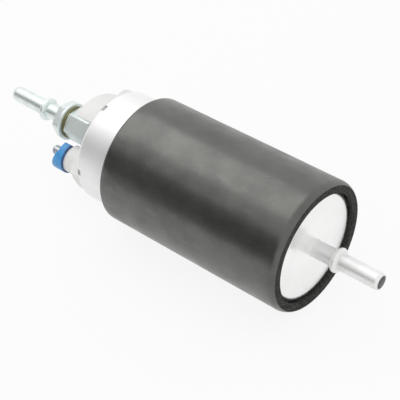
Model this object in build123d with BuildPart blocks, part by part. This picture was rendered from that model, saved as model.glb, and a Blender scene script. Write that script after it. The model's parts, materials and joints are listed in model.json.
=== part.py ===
"""In-line electric fuel pump for a frame rail: a foam sleeved aluminium can that holds a gerotor
pump, its brushed motor and a relief valve, with a check valve and a beaded tube on the outlet.

Millimetres, +Z up. The pump axis is X and the origin is the centre of the foam sleeve.
+X points to the inlet tube, -X to the terminals, the check valve and the outlet tube.
"""

from build123d import *
import os
from math import cos, pi, radians, sin, sqrt

# Sleeve and can
sleeve_length = 101.6
sleeve_wall = 3.75
sleeve_edge = 1.4
sleeve_mouth_overlap = 1.5
sleeve_mouth_length = 5.3
can_radius = 28.0
can_wall = 1.2
can_floor = 2.0
can_recess = 1.5
can_corner = 4.5
lip_corner = 2.0
lip_width = 6.5
lip_window_count = 5
lip_window_width = 3.6
lip_window_length = 2.4
lip_window_from_lip = 0.6
lip_window_angle = 108.0

# Beaded tubes
tube_radius = 4.0
tube_bore = 3.0
bead_radius = 5.9
bead_width = 3.4
tube_tip_round = 0.5
inlet_reach = 33.2
inlet_bead_from_sleeve = 11.2
inlet_collar_radius = 4.9
inlet_collar_length = 1.8
inlet_flange_radius = 7.0
inlet_flange_thickness = 1.0
outlet_reach = 33.0
outlet_bead_from_nut = 10.0

# Inlet screen
screen_radius = 12.0
screen_height = 3.0
screen_wall = 0.6
screen_flange = 1.6
screen_slot_width = 1.0
screen_slot_length = 5.0
screen_slot_count = 12

# Gerotor and its plates
inner_lobes = 6
outer_lobes = 7
rotor_offset_length = 1.25
lobe_circle_radius = 12.3
lobe_radius = 3.6
lobe_gap = 0.06
points_per_lobe = 12
outer_rotor_radius = 15.6
rotor_thickness = 12.0
rotor_side_gap = 0.05
inlet_plate_thickness = 6.0
inlet_rim_height = 5.3
inlet_rim_width = 3.0
inlet_rim_from_edge = 4.25
inlet_rim_gap = 9.0
inlet_rim_gap_count = 3
outlet_plate_thickness = 8.0
port_inner_radius = 7.6
port_outer_radius = 10.6
port_span = 144.0
suction_port_angle = 90.0
discharge_port_angle = 270.0
screw_from_edge = 4.95
screw_radius = 2.0
screw_hole_gap = 0.15
screw_head_radius = 3.4
screw_head_height = 4.0
screw_socket_radius = 1.7
screw_socket_depth = 2.0
screw_bite = 5.0
screw_count = 3
screw_angle = 90.0

# Relief valve
relief_from_edge = 5.45
relief_ball_radius = 2.2
relief_bore_gap = 0.3
relief_seat_radius = 1.4
relief_seat_depth = 2.0
relief_plug_length = 4.0
relief_plug_hole = 1.0

# Motor
fit_gap = 0.05
flux_ring_wall = 2.3
magnet_thickness = 5.3
magnet_length = 40.0
magnet_span = 140.0
magnet_start = 8.0
clip_strip = 0.6
clip_tip_from_bore = 0.4
clip_side_gap = 0.35
air_gap = 0.7
core_length = 28.0
core_start = 14.0
core_slots = 8
core_tooth = 4.4
slot_mouth = 2.4
slot_inner_radius = 8.5
slot_lip = 1.6
winding_overhang = 7.0
winding_from_core_edge = 2.8
winding_inner_radius = 6.4
winding_round = 2.8
winding_gap = 0.3
shaft_radius = 4.0
shaft_gap = 0.03
shaft_chamfer = 0.5
shaft_nose = 3.5
shaft_tail = 2.0
shaft_collar_radius = 5.5
bush_wall = 1.6
bush_length = 7.0
drive_pin_radius = 1.2
drive_pin_length = 12.0
drive_pin_depth = 2.5
drive_slot_gap = 0.1
commutator_radius = 9.5
commutator_length = 12.0
commutator_riser_length = 2.0
commutator_riser_radius = 10.8
commutator_bar_depth = 2.6
commutator_slot = 0.8
commutator_from_core = 12.0
thrust_washer_thickness = 0.8
thrust_washer_radius = 7.2
thrust_gap = 0.1

# Brushes and their holder
holder_plate = 6.0
holder_skirt = 10.0
holder_hub_radius = 8.0
guide_wall = 1.4
guide_roof = 1.0
guide_edge_gap = 0.85
guide_start_gap = 1.1
brush_width = 8.0
brush_depth = 7.0
brush_length = 7.5
brush_face_gap = 0.3
brush_side_gap = 0.1
brush_from_bar_end = 1.0
flow_hole_radius = 2.6
flow_hole_from_edge = 9.25
flow_hole_count = 4
flow_hole_angle = 45.0

# Terminal cover, studs and insulators
cover_skirt_length = 5.95
cover_skirt_wall = 4.7
cover_floor = 4.3
cover_lip_gap = 0.6
cover_flange_gap = 0.4
cover_flange_height = 8.0
cover_flange_edge = 4.0
cover_flange_flat = 11.0
cover_flange_flat_angle = 124.0
cover_platform_radius = 21.75
cover_platform_height = 16.0
cover_platform_edge = 4.0
cover_platform_flat = -2.8
cover_platform_flat_angle = 222.0
seal_radius = 1.0
seal_groove_width = 2.6
seal_from_holder = 4.5
terminal_angle = 220.0
live_tower_radius = 7.0
live_tower_height = 2.5
live_stud_radius = 2.5
live_stud_reach = 15.4
live_cup_from_edge = 4.0
live_cup_from_valve = 0.5
live_cup_wall = 1.3
live_cup_base = 1.6
live_cup_height = 7.4
live_cup_low_side = 4.4
live_cup_flat = 5.0
earth_collar_from_pocket = 0.1
earth_stud_radius = 2.0
earth_stud_reach = 7.0
earth_collar_radius = 3.7
earth_collar_height = 1.6
stud_head_from_skirt = 0.75
stud_head_height = 2.0
stud_tip_chamfer = 0.6
stud_shank_step = 0.5
lead_strip = 0.8
lead_width = 4.0
lead_reach = 7.0

# Check valve and outlet fitting
valve_flats = 15.0
valve_hex_angle = 119.0
valve_hex_length = 20.75
valve_pocket_radius = 9.6
valve_thread_radius = 6.0
valve_thread_length = 11.0
valve_port_radius = 2.6
valve_chamber_radius = 4.2
valve_chamber_length = 14.8
valve_seal_radius = 0.7
hex_chamfer = 0.6
poppet_radius = 3.5
poppet_seat_gap = 0.1
poppet_nose = 0.8
poppet_rim = 1.0
poppet_stem_radius = 1.5
poppet_stem_length = 3.0
retainer_thickness = 1.2
retainer_hole_radius = 0.9
retainer_hole_circle_radius = 2.8
retainer_hole_count = 5
crush_washer_radius = 9.2
crush_washer_thickness = 1.3
crush_washer_chamfer = 0.25
nut_flange_radius = 9.25
nut_flange_thickness = 1.5
nut_flats = 16.0
nut_hex_angle = 111.0
nut_hex_length = 4.0
nut_neck_radius = 5.4
nut_neck_length = 2.0
nut_thread_radius = 5.0
nut_socket_depth = 6.0
nut_tube_depth = 5.4

# Springs: wire diameter, mean radius and turns
spring_end_gap = 0.12
brush_spring = (0.5, 2.6, 3.0)
valve_spring = (0.5, 2.4, 3.5)
relief_spring = (0.5, 1.6, 4.0)

# Stations along the axis and radii that follow from the sizes above
sleeve_half = sleeve_length / 2
sleeve_radius = can_radius + sleeve_wall
sleeve_mouth_radius = can_radius - sleeve_mouth_overlap
can_inner_radius = can_radius - can_wall
insert_radius = can_inner_radius - fit_gap
lip_radius = can_radius - lip_width
can_end_x = sleeve_half - can_recess
can_floor_x = can_end_x - can_floor
inlet_tip_x = sleeve_half + inlet_reach
inlet_bead_x = sleeve_half + inlet_bead_from_sleeve
inlet_plate_x = can_floor_x - inlet_rim_height
inlet_rim_outer_radius = insert_radius - inlet_rim_from_edge
inlet_rim_inner_radius = inlet_rim_outer_radius - inlet_rim_width
pump_x = inlet_plate_x - inlet_plate_thickness
ring_end_x = pump_x - rotor_thickness
plate_back_x = ring_end_x - outlet_plate_thickness
screw_circle_radius = insert_radius - screw_from_edge
screw_hole = screw_radius + screw_hole_gap
rotor_hole_radius = lobe_circle_radius + 2 * rotor_offset_length - lobe_radius + lobe_gap
flux_inner_radius = insert_radius - flux_ring_wall
magnet_x = plate_back_x - magnet_start
magnet_outer_radius = flux_inner_radius - fit_gap
magnet_inner_radius = magnet_outer_radius - magnet_thickness
core_radius = magnet_inner_radius - air_gap
core_x = plate_back_x - core_start
core_end_x = core_x - core_length
winding_outer_radius = core_radius - winding_from_core_edge
commutator_x = core_end_x - commutator_from_core
commutator_end_x = commutator_x - commutator_length
front_washer_x = plate_back_x - thrust_gap - thrust_washer_thickness
rear_washer_x = commutator_end_x - thrust_gap - thrust_washer_thickness
rear_bush_x = rear_washer_x - thrust_gap
holder_back_x = rear_bush_x - bush_length
holder_x = holder_back_x + holder_plate
flux_end_x = holder_x + holder_skirt
brush_x = commutator_end_x + brush_from_bar_end + brush_depth / 2
brush_base = commutator_radius + brush_face_gap
brush_top = brush_base + brush_length
guide_start_height = commutator_radius + guide_start_gap
guide_top_height = flux_inner_radius - guide_edge_gap
flow_hole_circle_radius = insert_radius - flow_hole_from_edge
cover_floor_x = holder_back_x - cover_skirt_length
cover_roof_x = cover_floor_x - cover_floor
can_lip_x = cover_roof_x - can_wall - fit_gap
cover_neck_radius = lip_radius - cover_lip_gap
cover_flange_radius = insert_radius - fit_gap
flange_back_x = can_lip_x - cover_flange_gap
flange_x = can_lip_x - cover_flange_height
platform_x = can_lip_x - cover_platform_height
valve_face_x = flange_x - valve_hex_length
washer_face_x = valve_face_x - crush_washer_thickness
nut_hex_x = washer_face_x - nut_flange_thickness
nut_end_x = nut_hex_x - nut_hex_length - nut_neck_length
outlet_bead_x = nut_end_x - outlet_bead_from_nut
outlet_tip_x = nut_end_x - outlet_reach
seat_x = valve_face_x + valve_chamber_length
poppet_slope = poppet_radius - valve_port_radius + poppet_seat_gap
poppet_back_x = seat_x - poppet_slope - poppet_rim
retainer_x = valve_face_x + nut_socket_depth
live_cup_inside = valve_flats / 2 + live_cup_from_valve
live_cup_radius = (can_radius - live_cup_from_edge - live_cup_inside) / 2
live_pitch_radius = live_cup_inside + live_cup_radius
earth_pitch_radius = valve_pocket_radius + earth_collar_from_pocket + earth_collar_radius
stud_head_radius = insert_radius - cover_skirt_wall - live_pitch_radius - stud_head_from_skirt
live_shank_radius = live_stud_radius + stud_shank_step
earth_shank_radius = earth_stud_radius + stud_shank_step
bush_radius = shaft_radius + bush_wall
shaft_bore = shaft_radius + shaft_gap
relief_circle_radius = insert_radius - relief_from_edge
relief_bore = relief_ball_radius + relief_bore_gap
relief_seat_x = plate_back_x + relief_seat_depth
ball_rise = sqrt(relief_ball_radius ** 2 - relief_seat_radius ** 2)
ball_x = relief_seat_x + ball_rise + fit_gap
relief_plug_x = inlet_plate_x - relief_plug_length


def polar(radius, angle):
    """A point at a radius and an angle in degrees."""
    return (radius * cos(radians(angle)), radius * sin(radians(angle)))


def across(x):
    """The plane across the pump axis at x: its local axes are Y and Z, and it faces +X."""
    return Plane.YZ.offset(x)


live_point = polar(live_pitch_radius, terminal_angle)
earth_point = polar(earth_pitch_radius, terminal_angle - 180)
relief_point = polar(relief_circle_radius, screw_angle + 180)
rotor_centre = (rotor_offset_length, 0)
pieces = []


def keep(builder, name):
    """Labels a finished piece and lists it for writing."""
    builder.part.label = name
    pieces.append(builder.part)


def beaded_line(start_x, tip_x, bead_x, way):
    """The outer line of a beaded tube from its root to its tip. way is +1 towards +X, else -1."""
    half_bead = way * bead_width / 2
    Line((start_x, tube_radius), (bead_x - half_bead, tube_radius))
    ThreePointArc(
        (bead_x - half_bead, tube_radius),
        (bead_x, bead_radius),
        (bead_x + half_bead, tube_radius),
    )
    Polyline(
        (bead_x + half_bead, tube_radius),
        (tip_x - way * 3 * tube_tip_round, tube_radius),
        (tip_x, tube_radius - tube_tip_round),
        (tip_x, tube_bore),
    )


def sector_outline(inner, outer, middle_angle, span):
    """The closed outline of a ring's sector."""
    start = middle_angle - span / 2
    CenterArc((0, 0), outer, start, span)
    CenterArc((0, 0), inner, start, span)
    Line(polar(inner, start), polar(outer, start))
    Line(polar(inner, start + span), polar(outer, start + span))


def kidney_port(plane, depth, middle_angle):
    """Cuts a curved port of the given depth into the part being built."""
    with BuildSketch(plane) as port:
        with BuildLine():
            sector_outline(port_inner_radius, port_outer_radius, middle_angle, port_span)
        make_face()
    extrude(port.sketch, amount=depth, mode=Mode.SUBTRACT)


def round_hole(plane, centre, radius, depth):
    """Cuts a round hole of the given depth into the part being built."""
    with BuildSketch(plane) as hole:
        with Locations(centre):
            Circle(radius)
    extrude(hole.sketch, amount=depth, mode=Mode.SUBTRACT)


def spring_line(base, mean_radius, length, turns):
    """A spring's centre line on the base plane, as a pair of tangent arcs for each half turn."""
    steps = round(2 * turns)
    climb = length / turns / (2 * pi)

    def node(step):
        angle = step * pi
        spot = Vector(mean_radius * cos(angle), mean_radius * sin(angle), length * step / steps)
        ahead = Vector(-mean_radius * sin(angle), mean_radius * cos(angle), climb).normalized()
        return base.from_local_coords(spot), base.from_local_coords(ahead) - base.origin

    for step in range(steps):
        start, leaving = node(step)
        end, arriving = node(step + 1)
        chord = end - start
        along = chord.dot(leaving + arriving)
        spread = 2 * (1 - leaving.dot(arriving))
        reach = (-along + sqrt(along ** 2 + spread * chord.dot(chord))) / spread
        first = start + leaving * reach
        second = end - arriving * reach
        middle = (first + second) * 0.5
        TangentArc(start, middle, tangent=leaving)
        TangentArc(middle, end, tangent=(second - first).normalized())


def coil_spring(base, wire, mean_radius, turns, length, name):
    """A spring of six sided wire that fills a length above the base plane."""
    clear = wire / 2 + spring_end_gap
    with BuildPart() as spring:
        with BuildLine() as line:
            spring_line(base.offset(clear), mean_radius, length - 2 * clear, turns)
        path = line.wires()[0]
        with BuildSketch(Plane(origin=path @ 0, z_dir=path % 0)):
            RegularPolygon(wire / 2, 6)
        sweep(path=path)
    print(name, "least gap between turns", round((length - 2 * clear) / turns - wire, 2))
    keep(spring, name)


# Foam rubber sleeve, which closes in round the can's inlet end
with BuildPart() as foam_sleeve:
    with BuildSketch(Plane.XZ):
        with BuildLine():
            Polyline(
                (-sleeve_half, can_radius),
                (-sleeve_half, sleeve_radius),
                (sleeve_half, sleeve_radius),
                (sleeve_half, sleeve_mouth_radius),
                (sleeve_half - sleeve_mouth_length, can_radius),
                close=True,
            )
        make_face()
        fillet(vertices().group_by(Axis.Y)[-1], sleeve_edge)
    revolve(axis=Axis.X)
keep(foam_sleeve, "foam_sleeve")

# Drawn can: closed at the inlet, rolled over the terminal cover at the outlet
with BuildPart() as pump_can:
    with BuildSketch(Plane.XZ):
        with BuildLine():
            Polyline(
                (can_lip_x, lip_radius),
                (can_lip_x, can_radius),
                (can_end_x, can_radius),
                (can_end_x, tube_radius),
                (can_floor_x, tube_radius),
                (can_floor_x, can_inner_radius),
                (can_lip_x + can_wall, can_inner_radius),
                (can_lip_x + can_wall, lip_radius),
                close=True,
            )
        make_face()
        fillet(vertices().sort_by_distance((can_end_x, can_radius))[0], can_corner)
        fillet(vertices().sort_by_distance((can_floor_x, can_inner_radius))[0], can_corner - can_wall)
        fillet(vertices().sort_by_distance((can_lip_x, can_radius))[0], lip_corner)
        lip_inside = (can_lip_x + can_wall, can_inner_radius)
        fillet(vertices().sort_by_distance(lip_inside)[0], lip_corner - can_wall)
    revolve(axis=Axis.X)
    with BuildSketch(across(can_lip_x + lip_window_from_lip)):
        with PolarLocations(can_radius, lip_window_count, start_angle=lip_window_angle):
            Rectangle(2 * lip_corner, lip_window_width)
    extrude(amount=lip_window_length, mode=Mode.SUBTRACT)
keep(pump_can, "pump_can")

# Inlet tube, flared over inside the can and swaged outside it
with BuildPart() as inlet_tube:
    with BuildSketch(Plane.XZ):
        with BuildLine():
            Polyline(
                (inlet_tip_x, tube_bore),
                (can_floor_x - inlet_flange_thickness, tube_bore),
                (can_floor_x - inlet_flange_thickness, inlet_flange_radius),
                (can_floor_x, inlet_flange_radius),
                (can_floor_x, tube_radius),
                (can_end_x, tube_radius),
                (can_end_x, inlet_collar_radius),
                (can_end_x + inlet_collar_length, tube_radius),
            )
            beaded_line(can_end_x + inlet_collar_length, inlet_tip_x, inlet_bead_x, 1)
        make_face()
    revolve(axis=Axis.X)
keep(inlet_tube, "inlet_tube")

# Inlet screen, a slotted cup over the suction port
with BuildPart() as inlet_screen:
    with BuildSketch(across(inlet_plate_x)):
        Circle(screen_radius + screen_flange)
    extrude(amount=screen_wall)
    with BuildSketch(across(inlet_plate_x)):
        Circle(screen_radius)
    extrude(amount=screen_height)
    with BuildSketch(across(inlet_plate_x)):
        Circle(screen_radius - screen_wall)
    extrude(amount=screen_height - screen_wall, mode=Mode.SUBTRACT)
    with BuildSketch(across(inlet_plate_x)):
        with PolarLocations(screen_radius * 2 / 3, screen_slot_count):
            Rectangle(screen_slot_length, screen_slot_width)
    extrude(amount=screen_height, mode=Mode.SUBTRACT)
keep(inlet_screen, "inlet_screen")

# Inlet plate: suction port, shaft bore, screw holes and the relief valve's return hole
with BuildPart() as inlet_plate:
    with BuildSketch(across(pump_x)):
        Circle(insert_radius)
    extrude(amount=inlet_plate_thickness)
    with BuildSketch(across(inlet_plate_x)):
        Circle(inlet_rim_outer_radius)
        Circle(inlet_rim_inner_radius, mode=Mode.SUBTRACT)
        with PolarLocations(inlet_rim_outer_radius, inlet_rim_gap_count, start_angle=screw_angle + 180):
            Rectangle(inlet_rim_gap, inlet_rim_gap, mode=Mode.SUBTRACT)
    extrude(amount=inlet_rim_height)
    kidney_port(across(pump_x), inlet_plate_thickness, suction_port_angle)
    round_hole(across(pump_x), (0, 0), shaft_bore, shaft_nose + shaft_chamfer)
    round_hole(across(pump_x), relief_point, relief_bore, inlet_plate_thickness)
    with BuildSketch(across(pump_x)):
        with PolarLocations(screw_circle_radius, screw_count, start_angle=screw_angle):
            Circle(screw_radius)
    extrude(amount=screw_bite, mode=Mode.SUBTRACT)
keep(inlet_plate, "inlet_plate")

# Rotor housing ring, with the offset bore that the outer rotor runs in
with BuildPart() as rotor_housing:
    with BuildSketch(across(ring_end_x)):
        Circle(insert_radius)
        with Locations(rotor_centre):
            Circle(outer_rotor_radius + fit_gap, mode=Mode.SUBTRACT)
        with Locations(relief_point):
            Circle(relief_bore, mode=Mode.SUBTRACT)
        with PolarLocations(screw_circle_radius, screw_count, start_angle=screw_angle):
            Circle(screw_hole, mode=Mode.SUBTRACT)
    extrude(amount=rotor_thickness)
keep(rotor_housing, "rotor_housing")

# Outer rotor: round lobes that stand into an offset round hole
with BuildSketch() as rotor_hole:
    Circle(rotor_hole_radius)
    with PolarLocations(lobe_circle_radius, outer_lobes):
        Circle(lobe_radius, mode=Mode.SUBTRACT)

with BuildPart() as outer_rotor:
    with BuildSketch(across(ring_end_x + rotor_side_gap)):
        with Locations(rotor_centre):
            Circle(outer_rotor_radius)
            add(rotor_hole.sketch, mode=Mode.SUBTRACT)
    extrude(amount=rotor_thickness - 2 * rotor_side_gap)
keep(outer_rotor, "outer_rotor")


def inner_rotor_point(turn):
    """A point of the inner rotor's outline: the path of an outer lobe, set in by its radius."""
    spin = outer_lobes * turn
    path_y = lobe_circle_radius * cos(turn) + rotor_offset_length * cos(spin)
    path_z = lobe_circle_radius * sin(turn) + rotor_offset_length * sin(spin)
    along_y = -lobe_circle_radius * sin(turn) - outer_lobes * rotor_offset_length * sin(spin)
    along_z = lobe_circle_radius * cos(turn) + outer_lobes * rotor_offset_length * cos(spin)
    inset = (lobe_radius + lobe_gap) / sqrt(along_y ** 2 + along_z ** 2)
    return (path_y - inset * along_z, path_z + inset * along_y)


# Inner rotor, driven by the pin in the slot of its motor side
with BuildPart() as inner_rotor:
    with BuildSketch(across(ring_end_x + rotor_side_gap)):
        with BuildLine():
            steps = inner_lobes * points_per_lobe
            Spline(*[inner_rotor_point(2 * pi * i / steps) for i in range(steps)], periodic=True)
        make_face()
        Circle(shaft_radius, mode=Mode.SUBTRACT)
    extrude(amount=rotor_thickness - 2 * rotor_side_gap)
    with BuildSketch(across(ring_end_x)):
        slot_width = 2 * (drive_pin_radius + drive_slot_gap)
        Rectangle(slot_width, drive_pin_length + 2 * drive_slot_gap)
    extrude(amount=drive_pin_depth + drive_pin_radius + drive_slot_gap, mode=Mode.SUBTRACT)
keep(inner_rotor, "inner_rotor")

# Outlet plate: discharge port, bush seat, screw heads and the relief valve's seat
with BuildPart() as outlet_plate:
    with BuildSketch(across(plate_back_x)):
        Circle(insert_radius)
        with PolarLocations(screw_circle_radius, screw_count, start_angle=screw_angle):
            Circle(screw_hole, mode=Mode.SUBTRACT)
    extrude(amount=outlet_plate_thickness)
    with BuildSketch(across(plate_back_x)):
        with PolarLocations(screw_circle_radius, screw_count, start_angle=screw_angle):
            Circle(screw_head_radius + screw_hole_gap)
    extrude(amount=screw_head_height, mode=Mode.SUBTRACT)
    kidney_port(across(plate_back_x), outlet_plate_thickness, discharge_port_angle)
    round_hole(across(plate_back_x), (0, 0), shaft_bore, outlet_plate_thickness)
    round_hole(across(plate_back_x), (0, 0), bush_radius, bush_length)
    round_hole(across(plate_back_x), relief_point, relief_seat_radius, outlet_plate_thickness)
    relief_depth = outlet_plate_thickness - relief_seat_depth
    round_hole(across(relief_seat_x), relief_point, relief_bore, relief_depth)
keep(outlet_plate, "outlet_plate")

# Socket screws that clamp the plates on the rotor housing
with BuildPart() as stack_screws:
    with BuildSketch(across(plate_back_x)):
        with PolarLocations(screw_circle_radius, screw_count, start_angle=screw_angle):
            Circle(screw_head_radius)
    extrude(amount=screw_head_height)
    with BuildSketch(across(plate_back_x + screw_head_height)):
        with PolarLocations(screw_circle_radius, screw_count, start_angle=screw_angle):
            Circle(screw_radius)
    extrude(amount=pump_x + screw_bite - plate_back_x - screw_head_height)
    with BuildSketch(across(plate_back_x)):
        with PolarLocations(screw_circle_radius, screw_count, start_angle=screw_angle):
            RegularPolygon(screw_socket_radius, 6)
    extrude(amount=screw_socket_depth, mode=Mode.SUBTRACT)
keep(stack_screws, "stack_screws")

# Relief valve ball, spring and hollow plug
with BuildPart() as relief_ball:
    with BuildSketch(Plane.XZ.offset(-relief_point[0])):
        with Locations((ball_x, relief_point[1])):
            Circle(relief_ball_radius)
            with Locations((0, -relief_ball_radius)):
                Rectangle(2 * relief_ball_radius, 2 * relief_ball_radius, mode=Mode.SUBTRACT)
    revolve(axis=Axis((0, relief_point[0], relief_point[1]), (1, 0, 0)))
keep(relief_ball, "relief_ball")

with BuildPart() as relief_plug:
    with BuildSketch(across(relief_plug_x)):
        with Locations(relief_point):
            Circle(relief_bore)
            Circle(relief_plug_hole, mode=Mode.SUBTRACT)
    extrude(amount=relief_plug_length)
    with BuildSketch(across(inlet_plate_x)):
        with Locations(relief_point):
            Rectangle(2 * relief_bore, relief_plug_hole)
    extrude(amount=-relief_plug_hole, mode=Mode.SUBTRACT)
keep(relief_plug, "relief_plug")

relief_spring_x = ball_x + relief_ball_radius
relief_base = Plane(
    origin=(relief_spring_x, *relief_point), x_dir=(0, 1, 0), z_dir=(1, 0, 0)
)
coil_spring(relief_base, *relief_spring, relief_plug_x - relief_spring_x, "relief_spring")

# Sintered bushes that carry the shaft
with BuildPart() as front_bush:
    with BuildSketch(across(plate_back_x)):
        Circle(bush_radius)
        Circle(shaft_bore, mode=Mode.SUBTRACT)
    extrude(amount=bush_length)
keep(front_bush, "front_bush")

with BuildPart() as rear_bush:
    with BuildSketch(across(holder_back_x)):
        Circle(bush_radius)
        Circle(shaft_bore, mode=Mode.SUBTRACT)
    extrude(amount=bush_length)
keep(rear_bush, "rear_bush")

# Armature shaft, with a collar behind the front thrust washer and a hole for the drive pin
drive_pin_x = ring_end_x + drive_pin_depth
with BuildPart() as armature_shaft:
    with BuildSketch(across(holder_back_x + shaft_tail)):
        Circle(shaft_radius)
    extrude(amount=pump_x + shaft_nose - holder_back_x - shaft_tail)
    chamfer(edges().filter_by(GeomType.CIRCLE), shaft_chamfer)
    with BuildSketch(across(core_x)):
        Circle(shaft_collar_radius)
    extrude(amount=front_washer_x - core_x)
    with BuildSketch(Plane.XY.offset(-shaft_radius)):
        with Locations((drive_pin_x, 0)):
            Circle(drive_pin_radius)
    extrude(amount=2 * shaft_radius, mode=Mode.SUBTRACT)
keep(armature_shaft, "armature_shaft")

with BuildPart() as drive_pin:
    with BuildSketch(Plane.XY.offset(-drive_pin_length / 2)):
        with Locations((drive_pin_x, 0)):
            Circle(drive_pin_radius)
    extrude(amount=drive_pin_length)
keep(drive_pin, "drive_pin")

with BuildPart() as thrust_washers:
    with BuildSketch(across(front_washer_x), across(rear_washer_x)):
        Circle(thrust_washer_radius)
        Circle(shaft_radius, mode=Mode.SUBTRACT)
    extrude(amount=thrust_washer_thickness)
keep(thrust_washers, "thrust_washers")


def slot_outline(gap):
    """The closed outline of one core slot under its lips, drawn in by a gap."""
    half_angle = pi / core_slots
    low = slot_inner_radius + gap
    high = core_radius - slot_lip - gap
    low_half = low * sin(half_angle) - core_tooth / 2 - gap
    high_half = high * sin(half_angle) - core_tooth / 2 - gap
    Polyline((low, -low_half), (high, -high_half), (high, high_half), (low, low_half), close=True)


with BuildSketch() as core_slot:
    with BuildLine():
        slot_outline(0)
    make_face()
    with Locations((core_radius - slot_lip, 0)):
        Rectangle(3 * slot_lip, slot_mouth)

with BuildSketch() as winding_side:
    with BuildLine():
        slot_outline(winding_gap)
    make_face()

# Laminated armature core with its teeth
with BuildPart() as armature_core:
    with BuildSketch(across(core_end_x)):
        Circle(core_radius)
        Circle(shaft_radius, mode=Mode.SUBTRACT)
        with PolarLocations(0, core_slots):
            add(core_slot.sketch, mode=Mode.SUBTRACT)
    extrude(amount=core_length)
keep(armature_core, "armature_core")

# Windings: coil sides in the slots and the end turns on both faces of the core
with BuildPart() as armature_windings:
    with BuildSketch(Plane.XZ):
        with Locations((core_x, 0), (core_end_x - winding_overhang, 0)):
            with Locations((winding_overhang / 2, (winding_inner_radius + winding_outer_radius) / 2)):
                Rectangle(winding_overhang, winding_outer_radius - winding_inner_radius)
        outer_ends = vertices().group_by(Axis.X)
        fillet(outer_ends[0] + outer_ends[-1], winding_round)
    revolve(axis=Axis.X)
    with BuildSketch(across(core_end_x)):
        with PolarLocations(0, core_slots):
            add(winding_side.sketch)
    extrude(amount=core_length)
keep(armature_windings, "armature_windings")

# Commutator: copper bars with risers on a moulded hub
with BuildPart() as commutator_hub:
    with BuildSketch(across(commutator_end_x)):
        Circle(commutator_radius - commutator_bar_depth)
        Circle(shaft_radius, mode=Mode.SUBTRACT)
    extrude(amount=commutator_length)
keep(commutator_hub, "commutator_hub")

with BuildPart() as commutator_bars:
    with BuildSketch(across(commutator_end_x)):
        Circle(commutator_radius)
    extrude(amount=commutator_length)
    with BuildSketch(across(commutator_x)):
        Circle(commutator_riser_radius)
    extrude(amount=-commutator_riser_length)
    with BuildSketch(across(commutator_end_x)):
        Circle(commutator_radius - commutator_bar_depth)
        with PolarLocations(commutator_radius, core_slots):
            Rectangle(2 * commutator_radius, commutator_slot)
    extrude(amount=commutator_length, mode=Mode.SUBTRACT)
keep(commutator_bars, "commutator_bars")

# Motor field: flux ring, two magnets and the spring clips between them
with BuildPart() as flux_ring:
    with BuildSketch(across(flux_end_x)):
        Circle(insert_radius)
        Circle(flux_inner_radius, mode=Mode.SUBTRACT)
    extrude(amount=plate_back_x - flux_end_x)
keep(flux_ring, "flux_ring")

for side, angle in (("upper", 90), ("lower", 270)):
    with BuildPart() as magnet:
        with BuildSketch(across(magnet_x)):
            with BuildLine():
                sector_outline(magnet_inner_radius, magnet_outer_radius, angle, magnet_span)
            make_face()
        extrude(amount=-magnet_length)
    keep(magnet, side + "_magnet")

magnet_rise = sin(radians(90 - magnet_span / 2)) / cos(radians(90 - magnet_span / 2))
clip_inner = magnet_inner_radius + clip_tip_from_bore
clip_foot = clip_inner * magnet_rise - clip_side_gap
clip_base = sqrt(magnet_outer_radius ** 2 - (clip_foot + clip_strip / 2) ** 2) - clip_strip / 2
with BuildPart() as magnet_clips:
    with BuildSketch(across(magnet_x)):
        with BuildLine():
            Polyline(
                (clip_inner, -clip_foot),
                (clip_base, -clip_foot),
                (clip_base, clip_foot),
                (clip_inner, clip_foot),
            )
        trace(line_width=clip_strip)
        mirror(about=Plane.YZ)
    extrude(amount=-magnet_length)
keep(magnet_clips, "magnet_clips")

# Brush holder: plate, skirt, bush hub, flow holes and a closed guide for each brush
guide_width = brush_width + 2 * (brush_side_gap + guide_wall)
guide_depth = brush_x + brush_depth / 2 + brush_side_gap + guide_wall - holder_x
with BuildPart() as brush_holder:
    with BuildSketch(across(holder_back_x)):
        Circle(insert_radius)
        with PolarLocations(flow_hole_circle_radius, flow_hole_count, start_angle=flow_hole_angle):
            Circle(flow_hole_radius, mode=Mode.SUBTRACT)
    extrude(amount=holder_plate)
    with BuildSketch(across(holder_x)):
        Circle(insert_radius)
        Circle(flux_inner_radius, mode=Mode.SUBTRACT)
    extrude(amount=holder_skirt)
    with BuildSketch(across(holder_x)):
        Circle(holder_hub_radius)
    extrude(amount=bush_length - holder_plate)
    with BuildSketch(across(holder_x)):
        for side in (1, -1):
            with Locations((0, side * (guide_start_height + guide_top_height) / 2)):
                Rectangle(guide_width, guide_top_height - guide_start_height)
    extrude(amount=guide_depth)
    with BuildSketch(across(brush_x - brush_depth / 2 - brush_side_gap)):
        Rectangle(brush_width + 2 * brush_side_gap, 2 * (guide_top_height - guide_roof))
    extrude(amount=brush_depth + 2 * brush_side_gap, mode=Mode.SUBTRACT)
    round_hole(across(holder_back_x), (0, 0), bush_radius, bush_length)
keep(brush_holder, "brush_holder")

# Carbon brushes, hollowed to the commutator, and the springs behind them
for name, side in (("upper", 1), ("lower", -1)):
    with BuildPart() as brush:
        with BuildSketch(Plane.XY.offset(side * brush_top)):
            with Locations((brush_x, 0)):
                Rectangle(brush_depth, brush_width)
        extrude(amount=-side * (brush_length + brush_base / 3))
        with BuildSketch(across(brush_x - brush_depth)):
            Circle(brush_base)
        extrude(amount=2 * brush_depth, mode=Mode.SUBTRACT)
    keep(brush, name + "_brush")
    spring_base = Plane(origin=(brush_x, 0, side * brush_top), z_dir=(0, 0, side))
    spring_room = guide_top_height - guide_roof - brush_top
    coil_spring(spring_base, *brush_spring, spring_room, name + "_brush_spring")

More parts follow.
